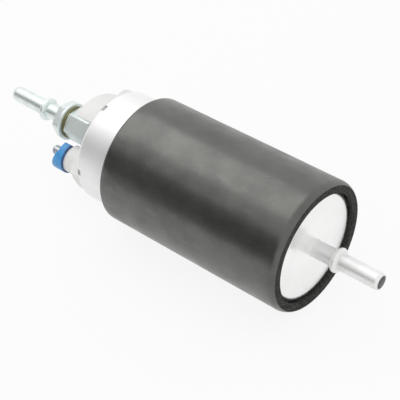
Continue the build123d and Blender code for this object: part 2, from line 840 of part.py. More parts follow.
def flatted_disc(radius, edge, start_x, end_x, flat, flat_angle):
    """A disc on the pump axis, with its outer edge rounded and a flat cut along one side."""
    with BuildPart() as disc:
        with BuildSketch(Plane.XZ):
            with BuildLine():
                Polyline((start_x, 0), (start_x, radius), (end_x, radius), (end_x, 0), close=True)
            make_face()
            fillet(vertices().sort_by_distance((end_x, radius))[0], edge)
        revolve(axis=Axis.X)
        with BuildSketch(across(start_x)):
            with Locations(polar(flat + radius, flat_angle)):
                Rectangle(2 * radius, 3 * radius, rotation=flat_angle)
        extrude(amount=end_x - start_x, mode=Mode.SUBTRACT)
    return disc.part


# Terminal cover: skirt, floor and neck, then outside the can's lip a flange and a platform, each
# with its flat, the live terminal's tower and the pocket that the check valve stands in
seal_x = holder_back_x - seal_from_holder
seal_ring_radius = can_inner_radius - fit_gap - seal_radius
seal_pocket = valve_thread_radius + 2 * valve_seal_radius + fit_gap
with BuildPart() as terminal_cover:
    with BuildSketch(Plane.XZ):
        with BuildLine():
            Polyline(
                (holder_back_x, insert_radius - cover_skirt_wall),
                (holder_back_x, insert_radius),
                (cover_roof_x, insert_radius),
                (cover_roof_x, 0),
                (cover_floor_x, 0),
                (cover_floor_x, insert_radius - cover_skirt_wall),
                close=True,
            )
        make_face()
        roof_corner = (cover_roof_x, insert_radius)
        fillet(vertices().sort_by_distance(roof_corner)[0], lip_corner - can_wall)
    revolve(axis=Axis.X)
    with BuildSketch(across(cover_roof_x)):
        Circle(cover_neck_radius)
    extrude(amount=flange_back_x - cover_roof_x)
    add(
        flatted_disc(
            cover_flange_radius, cover_flange_edge, flange_back_x, flange_x,
            cover_flange_flat, cover_flange_flat_angle,
        )
    )
    add(
        flatted_disc(
            cover_platform_radius, cover_platform_edge, flange_back_x, platform_x,
            cover_platform_flat, cover_platform_flat_angle,
        )
    )
    live_top_x = platform_x - live_tower_height
    with BuildSketch(across(flange_back_x)):
        with Locations(live_point):
            Circle(live_tower_radius)
    extrude(amount=live_top_x - flange_back_x)
    round_hole(across(live_top_x), (0, 0), valve_pocket_radius, flange_x - live_top_x)
    round_hole(across(flange_x), (0, 0), valve_thread_radius, cover_floor_x - flange_x)
    round_hole(across(flange_x), (0, 0), seal_pocket, 2 * valve_seal_radius)
    round_hole(across(live_top_x), live_point, live_shank_radius, cover_floor_x - live_top_x)
    round_hole(across(platform_x), earth_point, earth_shank_radius, cover_floor_x - platform_x)
    with BuildSketch(Plane.XZ):
        with Locations((seal_x, insert_radius)):
            Rectangle(seal_groove_width, 2 * (insert_radius - seal_ring_radius + seal_radius))
    revolve(axis=Axis.X, mode=Mode.SUBTRACT)
keep(terminal_cover, "terminal_cover")

with BuildPart() as cover_seal:
    with BuildSketch(Plane.XZ):
        with Locations((seal_x, seal_ring_radius)):
            Circle(seal_radius)
    revolve(axis=Axis.X)
keep(cover_seal, "cover_seal")


def terminal_stud(centre, radius, seat_end_x, tip_x, name):
    """A terminal stud: head against the cover's floor, thicker shank up to its insulator's face."""
    with BuildPart() as stud:
        with BuildSketch(across(cover_floor_x)):
            with Locations(centre):
                Circle(stud_head_radius)
        extrude(amount=stud_head_height)
        with BuildSketch(across(cover_floor_x)):
            with Locations(centre):
                Circle(radius + stud_shank_step)
        extrude(amount=seat_end_x - cover_floor_x)
        with BuildSketch(across(seat_end_x)):
            with Locations(centre):
                Circle(radius)
        extrude(amount=tip_x - seat_end_x)
        tip_edge = faces().sort_by(Axis.X)[0].edges()
        chamfer(tip_edge, stud_tip_chamfer)
    keep(stud, name)


live_seat_x = live_top_x - live_cup_base
earth_seat_x = platform_x - earth_collar_height
live_tip_x = platform_x - live_stud_reach
earth_tip_x = platform_x - earth_stud_reach
terminal_stud(live_point, live_stud_radius, live_seat_x, live_tip_x, "live_stud")
terminal_stud(earth_point, earth_stud_radius, earth_seat_x, earth_tip_x, "earth_stud")

# Live insulator: a cup round the stud, open towards the check valve and lower on that side
radial_plane = Plane(
    origin=(live_top_x, 0, 0),
    x_dir=(0, *polar(1, terminal_angle)),
    z_dir=(0, *polar(1, terminal_angle + 90)),
)
with BuildPart() as live_insulator:
    with BuildSketch(across(live_top_x)):
        with Locations(live_point):
            Circle(live_cup_radius)
            Circle(live_shank_radius, mode=Mode.SUBTRACT)
    extrude(amount=-live_cup_height)
    with BuildSketch(across(live_top_x - live_cup_base)):
        with Locations(live_point):
            Circle(live_cup_radius - live_cup_wall)
    extrude(amount=-live_cup_height, mode=Mode.SUBTRACT)
    with BuildSketch(radial_plane):
        with BuildLine():
            Polyline(
                (live_pitch_radius - 2 * live_cup_radius, -live_cup_low_side),
                (live_pitch_radius, -live_cup_low_side),
                (live_pitch_radius + live_cup_radius, -live_cup_height),
                (live_pitch_radius - 2 * live_cup_radius, -live_cup_height - live_cup_radius),
                close=True,
            )
        make_face()
    extrude(amount=live_cup_radius, both=True, mode=Mode.SUBTRACT)
    with BuildSketch(across(live_top_x)):
        with Locations(polar(live_pitch_radius - live_cup_flat - live_cup_radius, terminal_angle)):
            Rectangle(2 * live_cup_radius, 2 * live_cup_radius, rotation=terminal_angle)
    extrude(amount=-live_cup_height, mode=Mode.SUBTRACT)
keep(live_insulator, "live_insulator")

with BuildPart() as earth_insulator:
    with BuildSketch(across(platform_x)):
        with Locations(earth_point):
            Circle(earth_collar_radius)
            Circle(earth_shank_radius, mode=Mode.SUBTRACT)
    extrude(amount=-earth_collar_height)
keep(earth_insulator, "earth_insulator")

# Contact strips from the stud heads to the brush holder
for name, centre, angle, pitch in (
    ("live_lead", live_point, terminal_angle, live_pitch_radius),
    ("earth_lead", earth_point, terminal_angle - 180, earth_pitch_radius),
):
    strip_plane = Plane(
        origin=(0, 0, 0), x_dir=(1, 0, 0), z_dir=(0, *polar(1, angle - 90))
    )
    head_x = cover_floor_x + stud_head_height + lead_strip / 2
    foot_x = holder_back_x - lead_strip / 2
    with BuildPart() as lead:
        with BuildSketch(strip_plane):
            with BuildLine():
                Polyline(
                    (head_x, pitch + stud_head_radius / 2),
                    (head_x, pitch - lead_reach),
                    (foot_x, pitch - lead_reach),
                    (foot_x, pitch),
                )
            trace(line_width=lead_strip)
        extrude(amount=lead_width / 2, both=True)
    keep(lead, name)


def hexagon(flats, corner_angle, start_x, length):
    """A hexagonal bar along the pump axis, with its corners turned down at both ends."""
    corner = flats / sqrt(3)
    with BuildSketch(across(start_x)) as outline:
        RegularPolygon(flats / 2, 6, major_radius=False, rotation=corner_angle)
    extrude(outline.sketch, amount=-length)
    with BuildSketch(Plane.XZ) as turned:
        with BuildLine():
            Polyline(
                (start_x, 0),
                (start_x, corner - hex_chamfer),
                (start_x - hex_chamfer / 2, corner),
                (start_x - length + hex_chamfer / 2, corner),
                (start_x - length, corner - hex_chamfer),
                (start_x - length, 0),
                close=True,
            )
        make_face()
    revolve(turned.sketch, axis=Axis.X, mode=Mode.INTERSECT)


# Check valve body: hexagon, thread into the cover, seat, chamber and socket for the nut
with BuildPart() as valve_body:
    hexagon(valve_flats, valve_hex_angle, flange_x, valve_hex_length)
    with BuildSketch(across(flange_x)):
        Circle(valve_thread_radius)
    extrude(amount=valve_thread_length)
    thread_end_x = flange_x + valve_thread_length
    round_hole(across(valve_face_x), (0, 0), valve_port_radius, thread_end_x - valve_face_x)
    round_hole(across(valve_face_x), (0, 0), valve_chamber_radius, seat_x - valve_face_x)
    round_hole(across(valve_face_x), (0, 0), nut_thread_radius, nut_socket_depth)
keep(valve_body, "valve_body")

with BuildPart() as valve_seal:
    with BuildSketch(Plane.XZ):
        with Locations((flange_x + valve_seal_radius, valve_thread_radius + valve_seal_radius)):
            Circle(valve_seal_radius)
    revolve(axis=Axis.X)
keep(valve_seal, "valve_seal")

# Check valve poppet: a coned head that closes the port and a short stem inside its spring
with BuildPart() as valve_poppet:
    nose_x = seat_x + poppet_nose
    nose_radius = valve_port_radius - poppet_seat_gap - poppet_nose
    with BuildSketch(Plane.XZ):
        with BuildLine():
            Polyline(
                (nose_x, 0),
                (nose_x, nose_radius),
                (poppet_back_x + poppet_rim, poppet_radius),
                (poppet_back_x, poppet_radius),
                (poppet_back_x, poppet_stem_radius),
                (poppet_back_x - poppet_stem_length, poppet_stem_radius),
                (poppet_back_x - poppet_stem_length, 0),
                close=True,
            )
        make_face()
    revolve(axis=Axis.X)
keep(valve_poppet, "valve_poppet")

valve_spring_base = Plane(origin=(poppet_back_x, 0, 0), x_dir=(0, 1, 0), z_dir=(-1, 0, 0))
coil_spring(valve_spring_base, *valve_spring, poppet_back_x - retainer_x, "valve_spring")

with BuildPart() as valve_retainer:
    with BuildSketch(across(retainer_x)):
        Circle(nut_thread_radius)
        Circle(retainer_hole_radius, mode=Mode.SUBTRACT)
        with PolarLocations(retainer_hole_circle_radius, retainer_hole_count):
            Circle(retainer_hole_radius, mode=Mode.SUBTRACT)
    extrude(amount=-retainer_thickness)
keep(valve_retainer, "valve_retainer")

with BuildPart() as crush_washer:
    with BuildSketch(across(valve_face_x)):
        Circle(crush_washer_radius)
        Circle(nut_thread_radius + fit_gap, mode=Mode.SUBTRACT)
    extrude(amount=-crush_washer_thickness)
    rims = edges().filter_by(GeomType.CIRCLE).group_by(SortBy.RADIUS)[-1]
    chamfer(rims, crush_washer_chamfer)
keep(crush_washer, "crush_washer")

# Outlet nut: flange, hexagon and neck, with a threaded spigot into the valve body
with BuildPart() as outlet_nut:
    hexagon(nut_flats, nut_hex_angle, nut_hex_x, nut_hex_length)
    with BuildSketch(Plane.XZ):
        with BuildLine():
            Polyline(
                (retainer_x - retainer_thickness, 0),
                (retainer_x - retainer_thickness, nut_thread_radius),
                (washer_face_x, nut_thread_radius),
                (washer_face_x, nut_flange_radius),
                (nut_hex_x, nut_flange_radius),
                (nut_hex_x, nut_neck_radius),
                (nut_end_x + nut_neck_length / 2, nut_neck_radius),
                (nut_end_x, tube_radius + tube_tip_round),
                (nut_end_x, 0),
                close=True,
            )
        make_face()
    revolve(axis=Axis.X)
    bore_length = retainer_x - retainer_thickness - nut_end_x
    round_hole(across(nut_end_x), (0, 0), tube_bore, bore_length)
    round_hole(across(nut_end_x), (0, 0), tube_radius, nut_tube_depth)
keep(outlet_nut, "outlet_nut")

with BuildPart() as outlet_tube:
    tube_root_x = nut_end_x + nut_tube_depth
    with BuildSketch(Plane.XZ):
        with BuildLine():
            Polyline(
                (outlet_tip_x, tube_bore), (tube_root_x, tube_bore), (tube_root_x, tube_radius)
            )
            beaded_line(tube_root_x, outlet_tip_x, outlet_bead_x, -1)
        make_face()
    revolve(axis=Axis.X)
keep(outlet_tube, "outlet_tube")

os.makedirs("parts", exist_ok=True)
for piece in pieces:
    export_step(piece, "parts/" + piece.label + ".step")
print(len(pieces), "pieces")
print("overall length", round(inlet_tip_x - outlet_tip_x, 1))
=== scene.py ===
"""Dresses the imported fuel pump: turned metal, foam rubber, moulded plastic and the studio.

Sizes are millimetres in the settings and metres in Blender. The pump axis is X, up is Z, and
the frame's own nodes say where each piece sits.
"""

import json
from math import atan2, cos, degrees, pi, radians, sin, sqrt

import bmesh
import bpy
from bpy.props import FloatProperty, FloatVectorProperty, PointerProperty
from mathutils import Matrix, Vector


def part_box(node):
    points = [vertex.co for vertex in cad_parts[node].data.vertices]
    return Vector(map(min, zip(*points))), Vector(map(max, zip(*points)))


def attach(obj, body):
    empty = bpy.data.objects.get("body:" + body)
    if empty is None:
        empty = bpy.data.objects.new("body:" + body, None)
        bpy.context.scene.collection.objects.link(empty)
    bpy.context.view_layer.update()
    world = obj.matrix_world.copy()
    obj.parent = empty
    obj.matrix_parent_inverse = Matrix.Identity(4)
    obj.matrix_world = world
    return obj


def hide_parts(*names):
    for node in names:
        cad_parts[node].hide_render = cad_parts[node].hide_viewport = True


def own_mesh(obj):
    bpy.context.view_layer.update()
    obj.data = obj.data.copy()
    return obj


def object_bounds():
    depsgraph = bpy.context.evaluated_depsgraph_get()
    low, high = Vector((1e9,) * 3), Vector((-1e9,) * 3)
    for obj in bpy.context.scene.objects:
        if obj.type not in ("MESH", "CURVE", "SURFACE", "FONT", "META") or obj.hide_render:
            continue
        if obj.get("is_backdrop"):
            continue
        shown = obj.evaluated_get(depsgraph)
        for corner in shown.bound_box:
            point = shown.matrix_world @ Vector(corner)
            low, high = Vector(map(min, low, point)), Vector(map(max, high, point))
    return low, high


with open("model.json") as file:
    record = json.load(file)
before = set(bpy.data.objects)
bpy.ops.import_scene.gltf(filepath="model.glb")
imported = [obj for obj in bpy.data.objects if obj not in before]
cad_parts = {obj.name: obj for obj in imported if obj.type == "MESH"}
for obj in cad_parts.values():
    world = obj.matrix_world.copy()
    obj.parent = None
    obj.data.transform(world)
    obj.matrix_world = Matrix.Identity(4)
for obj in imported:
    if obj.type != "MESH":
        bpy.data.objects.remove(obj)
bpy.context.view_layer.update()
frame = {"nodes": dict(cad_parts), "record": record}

bl_info = {
    "name": "Fuel pump dressing",
    "version": (1, 0, 0),
    "blender": (4, 5, 0),
    "location": "View3D > Sidebar > Fuel pump",
    "description": "Dresses the packed fuel pump and sets its studio",
    "category": "Object",
}

MM = 0.001
TINY = 1e-6
BODY = "pump_body"

# Sizes in millimetres that the frame's boxes don't give. A round form's plain name is its radius

# Foam sleeve: its inside tapers to the mouth, and its outside closes in over the roll
SLEEVE_GAP = 0.02
MOUTH_OVERLAP = 1.5
MOUTH_LENGTH = 5.3
ROLL_LENGTH = 5.0
ROLL_DROP = 1.45
CUT_EDGE = 0.2
SKIN_DEPTH = 0.05
BORE_DEPTH = 0.1
WAVE_LENGTH = 22.0

# Can with its crimp windows
CAN_WALL = 1.2
CAN_FLOOR = 2.0
LIP_WIDTH = 6.5
LIP_EDGE = 0.5
WINDOW_COUNT = 5
WINDOW_ANGLE = 108.0
WINDOW_FROM_LIP = 1.8
WINDOW_SIZE = (2.4, 4.0, 3.6)

# Beaded tubes
TUBE = 4.0
TUBE_BORE = 3.0
BEAD = 5.9
BEAD_WIDTH = 3.4
TIP_EDGE = 0.2
INLET_FLANGE = 7.0
INLET_FLANGE_THICKNESS = 1.0
INLET_COLLAR = 4.3
INLET_COLLAR_LENGTH = 0.6
INLET_BEAD_FROM_SLEEVE = 11.2
OUTLET_BEAD_FROM_NUT = 10.0

# Check valve, nut and washer
VALVE_FLATS = 15.0
VALVE_ANGLE = 119.0
VALVE_THREAD = 6.0
VALVE_THREAD_LENGTH = 11.0
VALVE_CHAMBER = 4.2
VALVE_CHAMBER_LENGTH = 14.8
VALVE_PORT = 2.6
VALVE_EDGE = 0.18
NUT_SOCKET_DEPTH = 6.0
NUT_THREAD = 5.0
NUT_FLATS = 17.0
NUT_ANGLE = 111.0
NUT_HEX_LENGTH = 4.0
NUT_FLANGE = 9.8
NUT_FLANGE_THICKNESS = 1.5
NUT_FLANGE_EDGE = 0.35
NUT_NECK = 5.4
NUT_CONE = 1.0
NUT_MOUTH = 0.5
NUT_TUBE_DEPTH = 5.4
NUT_EDGE = 0.15
WASHER = 8.5
WASHER_GAP = 0.05
WASHER_EDGE = 0.3

# Blue cup, white collar and threaded studs
TERMINAL_ANGLE = 220.0
CUP_RADIUS = 8.0
CUP_WALL = 1.3
CUP_BASE = 1.6
CUP_FOOT = 0.7
CUP_LOW_SIDE = 4.4
CUP_FLAT = 5.0
CUP_EDGE = 0.25
SHANK_STEP = 0.5
STUD_HEAD_HEIGHT = 2.0
STUD_TIP_LENGTH = 0.6
STUD_TIP_DROP = 0.7
LIVE_STUD = 2.5
EARTH_STUD = 2.0
EARTH_COLLAR = 3.7
EARTH_COLLAR_EDGE = 0.4
THREAD_PITCH = 0.8
THREAD_ROOT = 0.3
THREAD_RIDGE = 0.42
THREAD_START = 0.7
THREAD_ENDS = 1.4

# Springs
SPRING_WIRE = 0.25
SPRING_TURNS = {
    "relief_spring": 4.0,
    "valve_spring": 3.5,
    "upper_brush_spring": 3.0,
    "lower_brush_spring": 3.0,
}

# How far a cutter goes past a piece, a joined part into it, and a point off its ring at most
OVERCUT = 1.0
BITE = 0.1
ON_RING = 0.02

# How finely round forms are divided
CAN_SIDES = 160
SLEEVE_SIDES = 128
SLEEVE_STEPS = 24
ROLL_STEPS = 6
RING_SIDES = 96
TUBE_SIDES = 72
BEAD_STEPS = 12
BORE_SIDES = 64
STUD_SIDES = 48
THREAD_STEPS = 24
WIRE_SIDES = 12
WINDING_STEPS = 28

# How squarely a face must look along the pump axis to be a cut end, or part of the can's cap
CUT_FACING = 0.9
CAP_FACING = 0.5

# How many times longer than deep the chamfer of a tube's tip is
TIP_TAPER = 3

# Finishes of more than one piece, and of the studio's paper and cards
# Painted shade: how dark the inside of a tube's bore is painted, as a share of its dark tone
BORE_PAINTED_SHADE = 0.45
COAT_ROUGHNESS = 0.12
SCUFF_TURN = (0.4, 0.9, 0.3)
SCUFF_STRETCH = (1.0, 3.0, 2.4)
PAPER = (0.86, 0.86, 0.86, 1)
PAPER_ROUGHNESS = 0.9
PAPER_SPECULAR = 0.1
FLOCK = (0.05, 0.05, 0.05, 1)

# The studio, in metres
FLOOR_RADIUS = 3.0
FLOOR_GLOW = 0.88
SOFTBOX_WAY = (-0.51, 0.0, 0.86)
SOFTBOX_DISTANCE = 0.9
SOFTBOX_SIZE = (0.7, 0.5)
CARD_WAY = (-0.51, -0.84, 0.15)
CARD_DISTANCE = 0.8
CARD_SIZE = (1.2, 0.66)
MAT_WAY = (-0.51, -0.86, 0.0)
MAT_START = -0.045
MAT_DISTANCE = 0.5
MAT_SIZE = (0.5, 0.6)
MAT_LIFT = 0.001
CAMERA_PLACE = (0.2696, -0.3351, 0.3389)
CAMERA_RIGHT = (0.7606, 0.6492, 0.0)
CAMERA_UP = (-0.4009, 0.4697, 0.7865)
CAMERA_BACK = (0.5106, -0.5982, 0.6176)
SENSOR_WIDTH = 36.0
CLIP_START = 0.01


def ends(node):
    """The lowest and highest x of a CAD node, in millimetres."""
    low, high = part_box(node)
    return low.x / MM, high.x / MM


def centre(node):
    """The middle of a CAD node across the pump axis, in millimetres."""
    low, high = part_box(node)
    return (low.y + high.y) / 2 / MM, (low.z + high.z) / 2 / MM


def from_axis(point):
    """A point's distance from the pump axis, in millimetres."""
    return sqrt(point.y ** 2 + point.z ** 2) / MM


# Modelling


def begin():
    """Leaves edit mode and deselects everything before a new piece."""
    if bpy.context.object and bpy.context.object.mode != "OBJECT":
        bpy.ops.object.mode_set(mode="OBJECT")
    bpy.ops.object.select_all(action="DESELECT")


def activate(piece):
    """Makes one piece the only selected and active object."""
    begin()
    piece.select_set(True)
    bpy.context.view_layer.objects.active = piece


def edit_all():
    """Enters edit mode with everything selected."""
    bpy.ops.object.mode_set(mode="EDIT")
    bpy.ops.mesh.select_all(action="SELECT")


def apply_place(piece):
    """Moves a piece's place into its mesh."""
    activate(piece)
    bpy.ops.object.transform_apply(location=True, rotation=True, scale=True)


def pick_edges(piece, test):
    """In edit mode, selects the edges whose points both pass a test."""
    mesh = bmesh.from_edit_mesh(piece.data)
    bpy.ops.mesh.select_all(action="DESELECT")
    bpy.ops.mesh.select_mode(type="EDGE")
    for edge in mesh.edges:
        edge.select_set(all(test(corner.co / MM) for corner in edge.verts))
    mesh.select_flush_mode()
    bmesh.update_edit_mesh(piece.data)


def tidy_shell(piece):
    """In edit mode, merges doubled points and turns all faces outward."""
    bpy.ops.mesh.select_mode(type="VERT")
    bpy.ops.mesh.select_all(action="SELECT")
    bpy.ops.mesh.remove_doubles(threshold=TINY)
    bpy.ops.mesh.normals_make_consistent(inside=False)
    bpy.ops.object.mode_set(mode="OBJECT")


def turned(name, profile, sides, middle=(0.0, 0.0), solid=False):
    """A turned piece along X from a line of (x, radius) points: a closed ring, or capped solid."""
    begin()
    x, radius = profile[0]
    bpy.ops.mesh.primitive_circle_add(
        vertices=sides,
        radius=radius * MM,
        location=(x * MM, middle[0] * MM, middle[1] * MM),
        rotation=(0, pi / 2, 0),
    )
    piece = bpy.context.object
    piece.name = name
    apply_place(piece)
    edit_all()
    if solid:
        bpy.ops.mesh.edge_face_add()
        bpy.ops.mesh.select_all(action="SELECT")
        extrude = bpy.ops.mesh.extrude_region_move
    else:
        extrude = bpy.ops.mesh.extrude_edges_move
    for next_x, next_radius in profile[1:] if solid else profile[1:] + profile[:1]:
        extrude(TRANSFORM_OT_translate={"value": ((next_x - x) * MM, 0, 0)})
        factor = next_radius / radius
        bpy.ops.transform.resize(
            value=(1, factor, factor),
            center_override=(next_x * MM, middle[0] * MM, middle[1] * MM),
        )
        x, radius = next_x, next_radius
    tidy_shell(piece)
    return piece


def round_rings(piece, rings, width, segments=3, middle=(0.0, 0.0)):
    """Bevels the rings of a turned piece that are named by their (x, radius)."""
    activate(piece)
    bpy.ops.object.mode_set(mode="EDIT")

    def on_ring(point):
        radius = sqrt((point.y - middle[0]) ** 2 + (point.z - middle[1]) ** 2)
        return any(abs(point.x - x) < ON_RING and abs(radius - r) < ON_RING for x, r in rings)

    pick_edges(piece, on_ring)
    bpy.ops.mesh.bevel(offset=width * MM, segments=segments, affect="EDGES")
    tidy_shell(piece)


def cut(piece, cutter, operation="DIFFERENCE"):
    """Cuts a piece with another one, which is then deleted."""
    activate(piece)
    modifier = piece.modifiers.new("Cut", "BOOLEAN")
    modifier.operation = operation
    modifier.object = cutter
    modifier.solver = "EXACT"
    bpy.ops.object.modifier_apply(modifier=modifier.name)
    bpy.data.objects.remove(cutter)


def soften(piece, width, angle=30.0, segments=2):
    """Rounds every edge that turns by more than an angle, as an applied bevel."""
    activate(piece)
    modifier = piece.modifiers.new("Soften", "BEVEL")
    modifier.width = width * MM
    modifier.segments = segments
    modifier.limit_method = "ANGLE"
    modifier.angle_limit = radians(angle)
    modifier.miter_outer = "MITER_ARC"
    bpy.ops.object.modifier_apply(modifier=modifier.name)


def block(name, size, x, reach, angle, lean=0.0):
    """A box (along the axis, outward, across) at a reach from the pump axis, leaning in x."""
    begin()
    outward = Vector((0, cos(radians(angle)), sin(radians(angle))))
    along = Vector((cos(radians(lean)), 0, 0)) - outward * sin(radians(lean))
    away = Vector((sin(radians(lean)), 0, 0)) + outward * cos(radians(lean))
    bpy.ops.mesh.primitive_cube_add(size=1)
    piece = bpy.context.object
    piece.name = name
    turn = Matrix((along, away, along.cross(away))).transposed().to_4x4()
    place = (Vector((x, 0, 0)) + outward * reach) * MM
    grow = Matrix.Diagonal([s * MM for s in size]).to_4x4()
    piece.matrix_world = Matrix.Translation(place) @ turn @ grow
    apply_place(piece)
    return piece


def join(pieces, name):
    """Joins pieces into one."""
    begin()
    for piece in pieces:
        piece.select_set(True)
    bpy.context.view_layer.objects.active = pieces[0]
    bpy.ops.object.join()
    pieces[0].name = name
    return pieces[0]


def hex_bar(name, flats, corner_angle, start_x, length, chamfer):
    """A hexagonal bar along the pump axis whose corners are turned down at both ends."""
    begin()
    corner = flats / sqrt(3)
    bpy.ops.mesh.primitive_cylinder_add(
        vertices=6,
        radius=corner * MM,
        depth=length * MM,
        location=((start_x - length / 2) * MM, 0, 0),
        rotation=(0, pi / 2, 0),
    )
    bar = bpy.context.object
    bar.name = name
    apply_place(bar)
    points = [Vector((v.co.y, v.co.z)) for v in bar.data.vertices]
    found = Vector((1, 0)).angle_signed(points[0])
    bar.rotation_euler.x = radians(corner_angle) + found
    apply_place(bar)
    skin = turned(
        name + "_turned",
        [
            (start_x, flats / 2 - chamfer / 2),
            (start_x - chamfer, corner),
            (start_x - length + chamfer, corner),
            (start_x - length, flats / 2 - chamfer / 2),
        ],
        RING_SIDES,
        solid=True,
    )
    cut(bar, skin, "INTERSECT")
    return bar


def finish_piece(piece, finish, node, angle=32.0):
    """Gives a piece its smooth shading, finish and body, and hides the CAD node that it stands
    for.
    """
    apply_place(piece)
    bpy.ops.object.shade_smooth_by_angle(angle=radians(angle))
    piece.data.materials.clear()
    piece.data.materials.append(finish_named(finish))
    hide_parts(node)
    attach(piece, BODY)


def second_finish(piece, finish, test):
    """Gives the faces of a piece that pass a test another finish."""
    piece.data.materials.append(finish_named(finish))
    for face in piece.data.polygons:
        if test(face):
            face.material_index = 1


# Shader groups


def new_group(name, inputs, outputs):
    """An empty shader group with float or vector inputs and its outputs."""
    group = bpy.data.node_groups.new(name, "ShaderNodeTree")
    for label, kind, value in inputs:
        socket = group.interface.new_socket(label, in_out="INPUT", socket_type=kind)
        if value is not None:
            socket.default_value = value
    for label, kind in outputs:
        group.interface.new_socket(label, in_out="OUTPUT", socket_type=kind)
    return group, group.nodes.new("NodeGroupInput"), group.nodes.new("NodeGroupOutput")


def noise(nodes, detail=4.0, rough=0.5):
    """A noise texture node."""
    node = nodes.new("ShaderNodeTexNoise")
    node.inputs["Detail"].default_value = detail
    node.inputs["Roughness"].default_value = rough
    return node


def maths(nodes, operation, second=None):
    """A math node with an optional second value."""
    node = nodes.new("ShaderNodeMath")
    node.operation = operation
    if second is not None:
        node.inputs[1].default_value = second
    return node


def ramp(nodes, low, high):
    """A colour ramp from black at one position to white at another."""
    node = nodes.new("ShaderNodeValToRGB")
    node.color_ramp.elements[0].position = low
    node.color_ramp.elements[1].position = high
    return node


def handling_group():
    """Cloudy patches and fine scuffs, as handling leaves them."""
    group, start, end = new_group(
        "Handling marks",
        [("Vector", "NodeSocketVector", None), ("Scale", "NodeSocketFloat", 60.0)],
        [("Clouds", "NodeSocketFloat"), ("Scuffs", "NodeSocketFloat")],
    )
    nodes, links = group.nodes, group.links
    clouds = noise(nodes, detail=5.0, rough=0.55)
    links.new(start.outputs["Vector"], clouds.inputs["Vector"])
    links.new(start.outputs["Scale"], clouds.inputs["Scale"])
    soft = ramp(nodes, low=0.34, high=0.68)
    links.new(clouds.outputs["Fac"], soft.inputs["Fac"])
    links.new(soft.outputs["Color"], end.inputs["Clouds"])
    stretch = nodes.new("ShaderNodeMapping")
    stretch.inputs["Rotation"].default_value = SCUFF_TURN
    stretch.inputs["Scale"].default_value = SCUFF_STRETCH
    links.new(start.outputs["Vector"], stretch.inputs["Vector"])
    scuffs = noise(nodes, detail=7.0, rough=0.62)
    links.new(stretch.outputs["Vector"], scuffs.inputs["Vector"])
    links.new(start.outputs["Scale"], scuffs.inputs["Scale"])
    sharp = ramp(nodes, low=0.56, high=0.72)
    links.new(scuffs.outputs["Fac"], sharp.inputs["Fac"])
    links.new(sharp.outputs["Color"], end.inputs["Scuffs"])
    return group


def grain_group():
    """A fine even grain, as cast, moulded or foamed surfaces have."""
    group, start, end = new_group(
        "Fine grain",
        [("Vector", "NodeSocketVector", None), ("Scale", "NodeSocketFloat", 900.0)],
        [("Height", "NodeSocketFloat")],
    )
    nodes, links = group.nodes, group.links
    fine = noise(nodes, detail=3.0, rough=0.6)
    links.new(start.outputs["Vector"], fine.inputs["Vector"])
    links.new(start.outputs["Scale"], fine.inputs["Scale"])
    links.new(fine.outputs["Fac"], end.inputs["Height"])
    return group


def axis_reach(nodes, links, vector):
    """Splits a place into its x and its distance from the pump axis."""
    split = nodes.new("ShaderNodeSeparateXYZ")
    links.new(vector, split.inputs["Vector"])
    flat = nodes.new("ShaderNodeCombineXYZ")
    links.new(split.outputs["Y"], flat.inputs["X"])
    links.new(split.outputs["Z"], flat.inputs["Y"])
    reach = nodes.new("ShaderNodeVectorMath")
    reach.operation = "LENGTH"
    links.new(flat.outputs["Vector"], reach.inputs[0])
    return split.outputs["X"], reach.outputs["Value"]


def turning_group():
    """Rings round the pump axis, as a lathe or a drawing die leaves them."""
    group, start, end = new_group(
        "Turning marks",
        [("Vector", "NodeSocketVector", None), ("Scale", "NodeSocketFloat", 1500.0)],
        [("Rings", "NodeSocketFloat")],
    )
    nodes, links = group.nodes, group.links
    x, reach = axis_reach(nodes, links, start.outputs["Vector"])
    rings = nodes.new("ShaderNodeCombineXYZ")
    links.new(x, rings.inputs["X"])
    links.new(reach, rings.inputs["Y"])
    lines = noise(nodes, detail=2.0, rough=0.5)
    links.new(rings.outputs["Vector"], lines.inputs["Vector"])
    links.new(start.outputs["Scale"], lines.inputs["Scale"])
    links.new(lines.outputs["Fac"], end.inputs["Rings"])
    return group


def inside_group():
    """A mask of what lies nearer to the pump axis than a radius, as a tube's bore does, which
    places the painted shade inside bores.
    """
    group, start, end = new_group(
        "Inside a bore",
        [("Vector", "NodeSocketVector", None), ("Radius", "NodeSocketFloat", TUBE_BORE * MM)],
        [("Mask", "NodeSocketFloat")],
    )
    nodes, links = group.nodes, group.links
    _, reach = axis_reach(nodes, links, start.outputs["Vector"])
    nearer = maths(nodes, "LESS_THAN")
    links.new(reach, nearer.inputs[0])
    links.new(start.outputs["Radius"], nearer.inputs[1])
    links.new(nearer.outputs["Value"], end.inputs["Mask"])
    return group


class Workshop:
    """Holds the shader groups and the materials, each made once."""

    groups = {}
    materials = {}


def shared_group(name):
    """One of the shader groups, made when first asked for."""
    makers = {
        "handling": handling_group,
        "grain": grain_group,
        "turning": turning_group,
        "inside": inside_group,
    }
    if name not in Workshop.groups:
        Workshop.groups[name] = makers[name]()
    return Workshop.groups[name]


def place_group(nodes, links, name, vector, value, socket="Scale"):
    """Places a shader group in a material, with a value for its scale or other socket."""
    node = nodes.new("ShaderNodeGroup")
    node.node_tree = shared_group(name)
    node.inputs[socket].default_value = value
    links.new(vector, node.inputs["Vector"])
    return node


